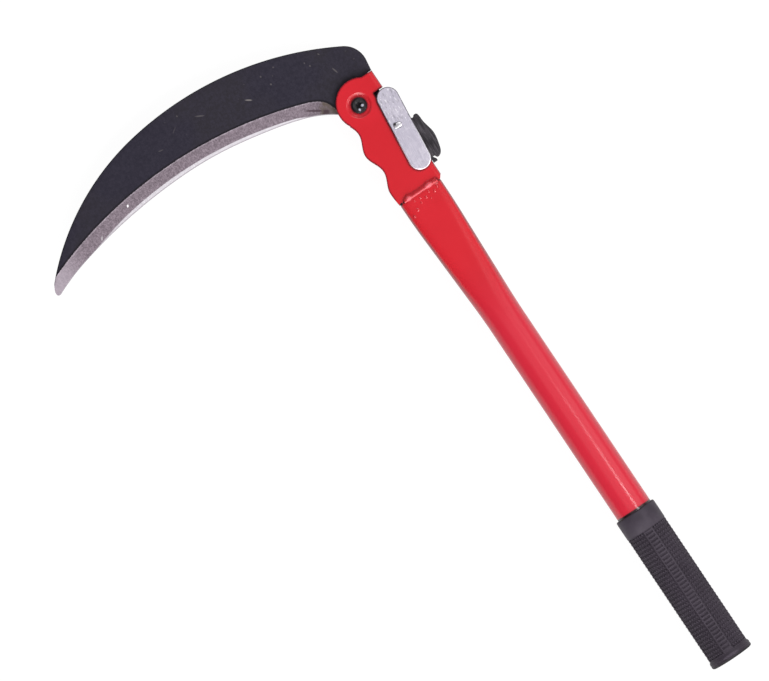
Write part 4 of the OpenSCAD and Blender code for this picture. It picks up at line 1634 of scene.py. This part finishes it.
@dataclass
class CrescentBlade:
    """The blade: a triangulated plan with a ground face, rounded back and square-cut tang."""

    plan: BladePlan
    pivot: Point
    tang_r: float = 14.55
    tang_top: float = 8.8
    choil_x: float = -2.0
    shoulder: Point = (13.1, -17.1)
    bore_r: float = 4.05
    fold_deg: float = 88.33
    tilt_deg: float = 6.0
    key: Point = (-21.75, -12.0)
    notch_from: float = -4.316
    notch_to: float = 16.03
    notch_low: float = 2.3
    notch_high: float = 6.7
    rim: float = 0.8
    rim_steps: tuple[float, ...] = (0.06, 0.2, 0.5, 1.0)
    root_steps: tuple[float, ...] = (0.02, 0.25, 0.6, 1.05, 1.6, 2.3, 3.2, 4.3, 5.6, 7.1, 8.8, 10.6)
    row_step: float = 1.5
    heel_end_deg: float = -98.0
    grid: float = 3.0
    grid_low: Point = (-12.0, -16.0)
    grid_far_x: float = 58.0

    def corner_turn(self) -> float:
        """Gives the angle at which the back runs into the heel's corner, in degrees."""
        back, heel = self.plan.back.centre, self.plan.heel.centre
        return math.degrees(math.atan2(heel[1] - back[1], heel[0] - back[0]))

    def back_path(self, inset: float) -> list[Point]:
        """Gives the back and the heel's corner, from the tip down.

        Args:
            inset: how far inside the outline.

        Returns:
            The points.
        """
        plan = self.plan
        top = plan.back_tip.angle(plan.tip_y)
        turn = self.corner_turn()
        points = [plan.back_tip.at(a, inset) for a in span(top, plan.back_join, 0.5)]
        points += [plan.back.at(a, inset) for a in span(plan.back_join, turn, 0.5)[1:]]
        points += [plan.heel.at(a, inset) for a in span(turn, self.heel_end_deg, 5)[1:]]
        return points

    def outline(self) -> list[Point]:
        """Gives the whole outline, clockwise from the tip.

        Returns:
            The points.
        """
        plan = self.plan
        points = self.back_path(0.0)
        points += [(self.shoulder[0], self.shoulder[1]), (self.shoulder[0], -self.tang_r)]
        end = 180 - math.degrees(math.asin(self.tang_top / self.tang_r))
        disc = Arc((0.0, 0.0), self.tang_r)
        points += [disc.at(a) for a in span(270, end, 4)]
        points.append((self.choil_x, self.tang_top))
        points += [(plan.edge_x(y), y) for y in span(plan.heel_y, plan.tip_y, 1.2)]
        points += [(plan.tip_out + a * plan.tip_w, plan.tip_y + b * plan.tip_round) for a, b in plan.tip_end]
        return points

    def notch(self, fold: float) -> list[Point]:
        """Gives the notch that takes the bolt's nose, turned back by the fold.

        Args:
            fold: how far the blade is folded when this notch is used, in degrees.

        Returns:
            Its corners.
        """
        turn = Matrix.Rotation(math.radians(-fold), 2)
        lean = Matrix.Rotation(math.radians(-self.tilt_deg), 2)
        corners = ((self.notch_from, self.notch_low), (self.notch_to, self.notch_low),
                   (self.notch_to, self.notch_high), (self.notch_from, self.notch_high))
        placed = [turn @ (Vector(self.key) + lean @ Vector(corner)) for corner in corners]
        return [(point.x, point.y) for point in placed]

    def build(self) -> Piece:
        """Triangulates the plan between its lines, raises both faces and closes the sides.

        Returns:
            The blade.
        """
        plan = self.plan
        outline = self.outline()
        bore = [polar(self.bore_r, turn) for turn in rounds(64)]
        holes = [self.notch(0.0), self.notch(self.fold_deg), bore]
        rows = [plan.heel_y + step for step in self.root_steps]
        rows += span(plan.heel_y + 12.2, plan.tip_y - 1, self.row_step)
        bevel = [(plan.edge_x(plan.heel_y) + 0.1, plan.heel_y + 0.01)]
        bevel += [(plan.bevel_x(y), y) for y in rows if plan.bevel_x(y) < plan.back_tip.x(y) - 0.6]
        hone = [(plan.hone_x(y), y) for y in span(plan.heel_y + 1.5, plan.tip_y - 1, self.row_step)]
        points: list[Point] = []
        edges: list[tuple[int, int]] = []

        def lay(path: Sequence[Point], closed: bool) -> None:
            """Adds a line that the triangles must follow.

            Args:
                path: its points.
                closed: whether it runs back to its start.
            """
            start = len(points)
            points.extend(path)
            count = len(path)
            edges.extend((start + i, start + (i + 1) % count) for i in range(count if closed else count - 1))

        lay(outline, True)
        for hole in holes:
            lay(hole, True)
        for share in self.rim_steps:
            lay(self.back_path(self.rim * share), False)
        lay(bevel, False)
        lay(hone, False)
        for x in span(self.grid_low[0], self.grid_far_x, self.grid):
            points.extend((x, y) for y in span(self.grid_low[1], plan.reach, self.grid) if within((x, y), outline))
        flat, _, faces, *_ = delaunay_2d_cdt([Vector(p) for p in points], edges, [], 0, 1e-5)
        kept = []
        for face in faces:
            middle = sum((flat[i] for i in face), Vector((0.0, 0.0))) / len(face)
            centre = (middle.x, middle.y)
            if within(centre, outline) and not any(within(centre, hole) for hole in holes):
                kept.append(tuple(face))
        return self.raise_faces(flat, kept)

    def raise_faces(self, flat: Sequence[Vector], faces: Sequence[tuple[int, ...]]) -> Piece:
        """Turns the flat triangles into the solid blade.

        Args:
            flat: the points in the blade's plane.
            faces: the triangles.

        Returns:
            The blade.
        """
        half = self.plan.thickness / 2
        draft = MeshDraft()
        tops, lows = [], []
        for point in flat:
            drop = self.round_off(point)
            tops.append((point.x + self.pivot[0], point.y + self.pivot[1], self.plan.top(point.x, point.y) - drop))
            lows.append((point.x + self.pivot[0], point.y + self.pivot[1], -half + drop))
        top = draft.add(tops)
        low = draft.add(lows)
        used: dict[tuple[int, int], int] = {}
        for face in faces:
            draft.faces.append(tuple(top[i] for i in face))
            draft.faces.append(tuple(low[i] for i in reversed(face)))
            for i, j in zip(face, face[1:] + face[:1]):
                used[(i, j)] = used.get((i, j), 0) + 1
        for i, j in used:
            if (j, i) not in used:
                draft.faces.append((top[j], top[i], low[i], low[j]))
        made = draft.build("crescent_blade", 22.0)
        self.crease(made.data)
        return made

    def crease(self, mesh: bpy.types.Mesh) -> None:
        """Keeps the lines of the grind sharp.

        Args:
            mesh: the blade's mesh.
        """
        plan = self.plan

        def on_line(vertex: bpy.types.MeshVertex) -> bool:
            """Says whether a point lies on the bevel's or the honed strip's line.

            Args:
                vertex: the point.

            Returns:
                True on one of the lines.
            """
            x, y = vertex.co.x / MM - self.pivot[0], vertex.co.y / MM - self.pivot[1]
            if vertex.co.z < 0 and y > plan.heel_y + plan.run_out or y < plan.heel_y:
                return False
            return min(abs(x - plan.bevel_x(y)), abs(x - plan.hone_x(y))) < 0.02

        marked = [on_line(vertex) for vertex in mesh.vertices]
        sharp = mesh.attributes.get("sharp_edge") or mesh.attributes.new("sharp_edge", "BOOLEAN", "EDGE")
        for edge in mesh.edges:
            if marked[edge.vertices[0]] and marked[edge.vertices[1]]:
                sharp.data[edge.index].value = True

    def round_off(self, point: Vector) -> float:
        """Gives how far the rounded back lies below its face.

        Args:
            point: place in the blade's plane.

        Returns:
            The drop in millimetres.
        """
        plan = self.plan
        if point.y > plan.tip_y or point.x < self.shoulder[0] and point.y < plan.heel_y:
            return 0.0
        arc = plan.back_tip if point.y > plan.back.at(plan.back_join)[1] else plan.back
        lean = math.atan2(point.y - plan.heel.centre[1], point.x - plan.heel.centre[0])
        if math.degrees(lean) < self.corner_turn():
            arc = plan.heel
        inset = arc.radius - math.hypot(point.x - arc.centre[0], point.y - arc.centre[1])
        inset = min(self.rim, max(0.0, inset))
        return self.rim - math.sqrt(max(0.0, self.rim**2 - (self.rim - inset) ** 2))


def within(point: Point, outline: Sequence[Point]) -> bool:
    """Says whether a point lies inside a closed outline.

    Args:
        point: the point.
        outline: the outline's corners.

    Returns:
        True inside.
    """
    inside = False
    x, y = point
    for (ax, ay), (bx, by) in zip(outline, list(outline[1:]) + [outline[0]]):
        if (ay > y) != (by > y) and x < (bx - ax) * (y - ay) / (by - ay) + ax:
            inside = not inside
    return inside


# The lock


@dataclass
class ThumbPiece:
    """Plastic thumb piece under the spine, with a lip at its front end."""

    front_x: float
    base_y: float
    half_w: float = 4.45
    foot_back: float = 28.0
    foot_round: float = 0.35

    def profile(self) -> list[Spot]:
        """Gives the side view, from the front of the base round to its rear.

        Returns:
            Place along the handle, place across it, and the rounding at the long edges.
        """
        front, base = self.front_x, self.base_y
        knots = [(-0.1, 0.0, 0.3), (0.0, -1.6, 0.4), (-0.3, -2.9, 0.5), (-1.2, -3.7, 0.5), (-1.1, -4.5, 0.5),
                 (-0.35, -5.3, 0.7), (-0.2, -6.3, 0.9), (-0.5, -7.2, 1.0), (-1.6, -7.75, 1.1), (-4.0, -7.95, 1.3),
                 (-6.6, -8.1, 1.6), (-9.9, -8.8, 1.9), (-13.9, -9.6, 2.0), (-17.8, -9.4, 2.0),
                 (-22.0, -8.5, 1.9), (-25.2, -7.5, 1.6), (-27.1, -6.2, 1.2), (-27.9, -4.6, 0.9),
                 (-27.8, -3.6, 0.7), (-27.2, -3.1, 0.5), (-26.4, -2.7, 0.4), (-26.2, -1.4, 0.3), (-26.2, 0.0, 0.3)]
        fine = []
        for i in range(len(knots) - 1):
            a, b = knots[max(0, i - 1)], knots[i]
            c, d = knots[i + 1], knots[min(len(knots) - 1, i + 2)]
            for step in range(4):
                fine.append(tuple(catmull(a[k], b[k], c[k], d[k], step / 4) for k in range(3)))
        fine.append(knots[-1])
        return [(front + x, base + y, r) for x, y, r in fine]

    def add_foot(self, draft: MeshDraft) -> None:
        """Adds the foot that stands on the spine behind the thumb piece.

        Args:
            draft: the mesh that takes it.
        """
        rear = self.front_x - self.foot_back
        rings = []
        for inset, x in ((0.35, rear - 1.6), (0.0, rear - 1.45), (0.0, rear - 0.35), (0.0, rear + 1.9)):
            top = self.base_y - 2.6 + inset + (1.4 if x > rear else 0.0)
            half = self.half_w - 2.0 - inset
            round_off = self.foot_round
            corner = [(self.base_y, -half), (top + round_off, -half), (top, -half + round_off),
                      (top, half - round_off), (top + round_off, half), (self.base_y, half)]
            rings.append([(x, y, z) for y, z in corner])
        draft.solid(rings)

    def build(self) -> Piece:
        """Lofts the side view across the head, drawn in at the long edges.

        Returns:
            The thumb piece.
        """
        outline = self.profile()
        count = len(outline)
        inward = []
        for i in range(count):
            before, after = outline[max(0, i - 1)], outline[min(count - 1, i + 1)]
            along = Vector((after[0] - before[0], after[1] - before[1])).normalized()
            inward.append(Vector((along.y, -along.x)))
        rings = []
        for share in [-1, -0.985, -0.94, -0.86, -0.74, -0.6, -0.3, 0, 0.3, 0.6, 0.74, 0.86, 0.94, 0.985, 1]:
            z = share * self.half_w
            ring = []
            for (x, y, radius), way in zip(outline, inward):
                over = max(0.0, abs(z) - (self.half_w - radius))
                depth = radius - math.sqrt(max(0.0, radius**2 - over**2))
                ring.append((x + depth * way.x, min(self.base_y, y + depth * way.y), z))
            rings.append(ring)
        draft = MeshDraft()
        draft.solid(rings)
        self.add_foot(draft)
        return draft.build("thumb_rest")


def catmull(a: float, b: float, c: float, d: float, t: float) -> float:
    """Gives the value at a share t of the stretch from b to c of a Catmull-Rom curve through four knots."""
    return 0.5 * (2 * b + (c - a) * t + (2 * a - 5 * b + 4 * c - d) * t**2 + (3 * b - a - 3 * c + d) * t**3)


@dataclass
class StakedKey:
    """Key through the slide, its two ends upset into low domes."""

    place: Point
    top_z: float
    half_l: float = 1.6
    straight: float = 1.1
    cap_h: float = 0.6
    waist: float = 1.3
    tilt_deg: float = 6.0

    def ring(self, radius: float, straight: float, z: float) -> list[Spot]:
        """Gives the points round the key's long-sided section.

        Args:
            radius: the radius of its two half circles.
            straight: half the distance between their centres.
            z: the height.

        Returns:
            The points.
        """
        lean = Matrix.Rotation(math.radians(-self.tilt_deg), 2)
        points = []
        for side in (1, -1):
            for turn in turns(0, 180, 9):
                flat = lean @ Vector((side * radius * math.cos(turn), side * (straight + radius * math.sin(turn))))
                points.append((self.place[0] + flat.x, self.place[1] + flat.y, z))
        return points

    def build(self) -> Piece:
        """Lofts one dome, the key's waist and the other dome.

        Returns:
            The key.
        """
        rim_z = self.top_z - self.cap_h
        dome = []
        for turn in turns(85, 0, 8.5):
            share = math.cos(turn)
            height = rim_z + 0.12 + (self.cap_h - 0.12) * math.sin(turn)
            dome.append((self.half_l * share, self.straight * 0.9 * share, height))
        dome += [(self.half_l, self.straight, rim_z), (self.waist, 0.15, rim_z)]
        rings = [self.ring(radius, straight, z) for radius, straight, z in dome]
        rings += [self.ring(radius, straight, -z) for radius, straight, z in reversed(dome)]
        draft = MeshDraft()
        draft.solid(rings)
        return draft.build("staked_key")


@dataclass
class PivotScrew:
    """Screw with a low round head and a cross recess, and its shank through the head."""

    pivot: Point
    seat_z: float
    end_z: float
    head_r: float = 4.6
    head_h: float = 1.8
    shank_r: float = 2.5
    recess: float = 1.25
    turn_deg: float = 20.0
    arm_half: float = 0.58
    arm_soft: float = 0.12
    arm_len: float = 2.75
    arm_taper: float = 1.8
    dome: float = 0.25
    corner: float = 1.0

    def crown(self, reach: float) -> float:
        """Gives the low dome's height at a distance from its middle."""
        return self.head_h - self.dome * (reach / self.head_r) ** 2

    def cross(self, x: float, y: float) -> float:
        """Gives the depth of the cross recess.

        Args:
            x: place on the head.
            y: place on the head.

        Returns:
            The depth in millimetres.
        """
        turn = math.radians(self.turn_deg)
        u = abs(x * math.cos(turn) + y * math.sin(turn))
        v = abs(y * math.cos(turn) - x * math.sin(turn))
        wall = clamped((self.arm_half + self.arm_soft - min(u, v)) / (2 * self.arm_soft))
        taper = clamped((self.arm_len - max(u, v)) / self.arm_taper)
        return self.recess * wall * taper

    def build(self) -> Piece:
        """Lofts the head on a fine polar grid, then the shank.

        Returns:
            The screw.
        """
        sides = rounds(96)
        rings = []
        flat_r = self.head_r - self.corner
        for reach in span(0.06, flat_r, 0.1):
            height = self.seat_z + self.crown(reach)
            places = [polar(reach, turn) for turn in sides]
            rings.append([(x, y, height - self.cross(x, y)) for x, y in places])
        curve = [polar(self.corner, turn) for turn in turns(75, 0, 15)]
        profile = [(flat_r + x, self.crown(flat_r) - self.corner + y) for x, y in curve]
        profile += [(self.head_r, 0.15), (self.head_r - 0.15, 0.0), (self.shank_r, 0.0)]
        low = self.end_z - self.seat_z
        profile += [(self.shank_r, low + 0.45), (self.shank_r - 0.4, low), (0.3, low)]
        for reach, height in profile:
            rings.append([(*polar(reach, turn), self.seat_z + height) for turn in sides])
        draft = MeshDraft()
        draft.solid([[(x + self.pivot[0], y + self.pivot[1], z) for x, y, z in ring] for ring in rings])
        return draft.build("screw_with_cross", 32.0)


# The studio


@dataclass(frozen=True)
class Softbox:
    """An area lamp: its place, its sides and its power."""

    name: str
    place: Spot
    sides: Point
    power: float


@dataclass
class Studio:
    """White floor, soft light and the photograph's camera."""

    middle: Point = (262.7, 64.8)
    width: float = 441.4
    distance: float = 4000.0
    up: Point = (0.8310, -0.5563)
    sensor: float = 36.0
    clip_end: float = 20.0
    floor_drop: float = 0.2
    floor_half: float = 6.0
    floor_glow: float = 1.06
    floor_share: float = 0.88
    overhead: float = 0.13
    butt_wall: float = 1.6
    head_wall: float = 0.3
    side_wall: float = 0.15
    lamps: tuple[Softbox, ...] = (
        Softbox("low_softbox", (-1400, 1000, 1400), (1500, 1500), 25.0),
        Softbox("head_softbox", (1500, -1100, 1900), (1500, 1500), 22.5),
        Softbox("side_softbox", (0, -800, 560), (500, 500), 0.5),
        Softbox("glow", (60, 130, 740), (500, 400), 0.25),
        Softbox("strip", (-99, -350, 760), (110, 320), 2.3),
    )

    def place_camera(self) -> None:
        """Looks straight down on the sickle, rolled as the photograph is."""
        data = bpy.data.cameras.new("camera")
        data.sensor_width = self.sensor
        data.lens = self.sensor * self.distance / self.width
        data.clip_end = self.clip_end
        camera = linked("camera", data)
        up = Vector((*self.up, 0.0)).normalized()
        back = Vector((0.0, 0.0, 1.0))
        place = Vector((*self.middle, self.distance)) * MM
        camera.matrix_world = framed(place, up.cross(back), up, back)
        bpy.context.scene.camera = camera

    def lay_floor(self, low_z: float) -> None:
        """Lays a white floor under the sickle.

        Args:
            low_z: the sickle's lowest point, in metres.
        """
        mesh = bpy.data.meshes.new("floor")
        size = self.floor_half
        corners = [(-size, -size, 0), (size, -size, 0), (size, size, 0), (-size, size, 0)]
        mesh.from_pydata(corners, [], [(0, 1, 2, 3)])
        floor = linked("floor", mesh)
        floor.location.z = low_z - self.floor_drop * MM
        material = bpy.data.materials.new("floor_white")
        material.use_nodes = True
        graph = Graph(material.node_tree)
        shader = material.node_tree.nodes["Principled BSDF"]
        for name, value in {"Base Color": (0.9, 0.9, 0.9, 1.0), "Roughness": 0.9, "Specular IOR Level": 0.1}.items():
            shader.inputs[name].default_value = value
        seen = graph.rays("Is Camera Ray", "Is Glossy Ray", "Is Transmission Ray")
        glow = graph.take("ShaderNodeEmission", {"Color": (1, 1, 1, 1), "Strength": self.floor_glow})
        shares = {0: seen * self.floor_share, 1: shader.outputs[0], 2: glow}
        output = material.node_tree.nodes["Material Output"]
        graph.feed(output.inputs["Surface"], graph.take("ShaderNodeMixShader", shares))
        mesh.materials.append(material)
        floor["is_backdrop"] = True

    def hang(self, box: Softbox) -> None:
        """Hangs an area lamp that faces the sickle, its second side along the handle.

        Args:
            box: the lamp.
        """
        data = bpy.data.lights.new(box.name, "AREA")
        data.shape = "RECTANGLE"
        data.size = box.sides[0] * MM
        data.size_y = box.sides[1] * MM
        data.energy = box.power
        lamp = linked(box.name, data)
        place = Vector(box.place) * MM
        out = (place - Vector((min(200.0, max(0.0, box.place[0])), 0.0, 0.0)) * MM).normalized()
        along = Vector((1.0, 0.0, 0.0))
        along = (along - along.dot(out) * out).normalized()
        lamp.matrix_world = framed(place, along.cross(out), along, out)

    def light(self) -> None:
        """Sets the world, dark overhead with pale walls beyond the ends of the handle, and the lamps."""
        world = bpy.data.worlds.new("studio")
        bpy.context.scene.world = world
        world.use_nodes = True
        graph = Graph(world.node_tree)
        background = world.node_tree.nodes["Background"]
        background.inputs["Color"].default_value = (1.0, 0.985, 1.0, 1.0)
        x, y, _ = graph.axes(graph.take("ShaderNodeTexCoord", {}, "Generated"))
        level = graph.band(x, -0.25, -0.8).times(self.butt_wall, self.overhead)
        level = graph.band(x, 0.25, 0.8).times(self.head_wall, level)
        level = graph.band(y, -0.4, -0.8).times(self.side_wall, level)
        seen = graph.rays("Is Camera Ray", "Is Transmission Ray")
        graph.feed(background.inputs["Strength"], graph.blend(seen, level, 1.0))
        for box in self.lamps:
            self.hang(box)
        bpy.context.scene.view_settings.view_transform = "Standard"


class Sickle:
    """The whole tool: its finishes, its frame and its visible pieces."""

    def __init__(self, frame: Mapping[str, object]) -> None:
        """Reads the sizes that the visible pieces take from the frame.
        """
        self.nodes: dict[str, Piece] = frame["nodes"]
        hinge = next(joint for joint in frame["joints"] if joint["type"] == "hinge")
        self.pivot: Point = (hinge["pos_m"][0] / MM, hinge["pos_m"][1] / MM)
        self.mouth_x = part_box("handle_tube")[1].x / MM
        self.face_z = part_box("head_bracket")[1].z / MM
        low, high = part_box("lock_key")
        self.key: Point = ((low.x + high.x) / 2 / MM, (low.y + high.y) / 2 / MM)
        finishes: list[Finish] = [
            RedEnamel(mouth_x=self.mouth_x, pivot=self.pivot), GripRubber(), ForgedBlade(pivot=self.pivot),
            ZincPlate(key=self.key), PlainSteel(key=self.key), BlackOxide(driven=self.pivot), MouldedPlastic()]
        self.materials = {finish.slot: finish.material() for finish in finishes}

    def dress_frame(self, record: Mapping[str, object]) -> None:
        """Gives every CAD node the material of its slot.

        Args:
            record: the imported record.
        """
        slots = {part["node"]: Slot(part["material_slot"]) for part in record["subparts"]}
        for name, node in self.nodes.items():
            self.paint(node, slots[name])

    def paint(self, piece: Piece, slot: Slot) -> None:
        """Gives an object the material of a slot alone."""
        piece.data.materials.clear()
        piece.data.materials.append(self.materials[slot])

    def put(self, piece: Piece, body: Body, slot: Slot, *nodes: str) -> None:
        """Dresses a piece, puts it on its body and lets it stand for CAD nodes.

        Args:
            piece: the object.
            body: the body it rides on.
            slot: the record's material slot.
            nodes: the CAD nodes that it stands for.
        """
        self.paint(piece, slot)
        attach(piece, body.value)
        LOG.info("%s rides on %s in %s", piece.name, body.value, slot.value)
        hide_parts(*nodes)

    def build_handle(self) -> None:
        """Makes the tube, the grip, the bracket and the welds."""
        tube = PressedTube(self.mouth_x)
        self.put(tube.build(), Body.HANDLE, Slot.RED, "handle_tube")
        self.put(RubberGrip().build(), Body.HANDLE, Slot.RUBBER, "grip")
        bracket = softened(self.nodes["head_bracket"], "folded_bracket", 0.35, 3)
        self.put(bracket, Body.HANDLE, Slot.RED, "head_bracket")
        for face, node, seed in ((Face.FRONT, "weld_bead_front", 3), (Face.BACK, "weld_bead_back", 11)):
            bead = WeldBead(self.mouth_x, self.face_z, face, seed=seed)
            self.put(bead.build(), Body.HANDLE, Slot.RED, node)

    def build_pivot(self) -> None:
        """Makes the screw, the nut and the spring washer."""
        low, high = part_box("pivot_screw")
        screw = PivotScrew(self.pivot, high.z / MM - 1.8, low.z / MM)
        self.put(screw.build(), Body.HANDLE, Slot.BLACKENED, "pivot_screw")
        nut = softened(self.nodes["pivot_nut"], "hex_nut", 0.12)
        self.put(nut, Body.HANDLE, Slot.BLACKENED, "pivot_nut")
        washer = softened(self.nodes["spring_washer"], "split_washer", 0.1)
        self.put(washer, Body.HANDLE, Slot.STEEL, "spring_washer")

    def build_blade(self) -> None:
        """Makes the blade."""
        blade = CrescentBlade(BladePlan(), self.pivot)
        self.put(blade.build(), Body.BLADE, Slot.FORGED, "blade")

    def build_lock(self) -> None:
        """Makes the plates, the key, the bolt and the thumb piece."""
        for node, name in (("lock_plate_front", "cover_front"), ("lock_plate_back", "cover_back")):
            self.put(softened(self.nodes[node], name, 0.42, 3), Body.LOCK, Slot.ZINC, node)
        top_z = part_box("lock_key")[1].z / MM
        self.put(StakedKey(self.key, top_z).build(), Body.LOCK, Slot.STEEL, "lock_key")
        self.put(softened(self.nodes["lock_bolt"], "slide_bolt", 0.15), Body.LOCK, Slot.STEEL, "lock_bolt")
        low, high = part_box("thumb_slide")
        thumb = ThumbPiece(high.x / MM, high.y / MM)
        self.put(thumb.build(), Body.LOCK, Slot.PLASTIC, "thumb_slide")


def main() -> None:
    """Builds the sickle around the frame, then the studio."""
    logging.basicConfig(level=logging.INFO, format="%(name)s: %(message)s")
    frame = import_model()
    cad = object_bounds()
    studio = Studio()
    studio.place_camera()
    sickle = Sickle(frame)
    sickle.dress_frame(frame["record"])
    sickle.build_handle()
    sickle.build_pivot()
    sickle.build_blade()
    sickle.build_lock()
    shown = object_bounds()
    studio.lay_floor(min(cad[0][2], shown[0][2]))
    studio.light()


if __name__ == "__main__":
    main()
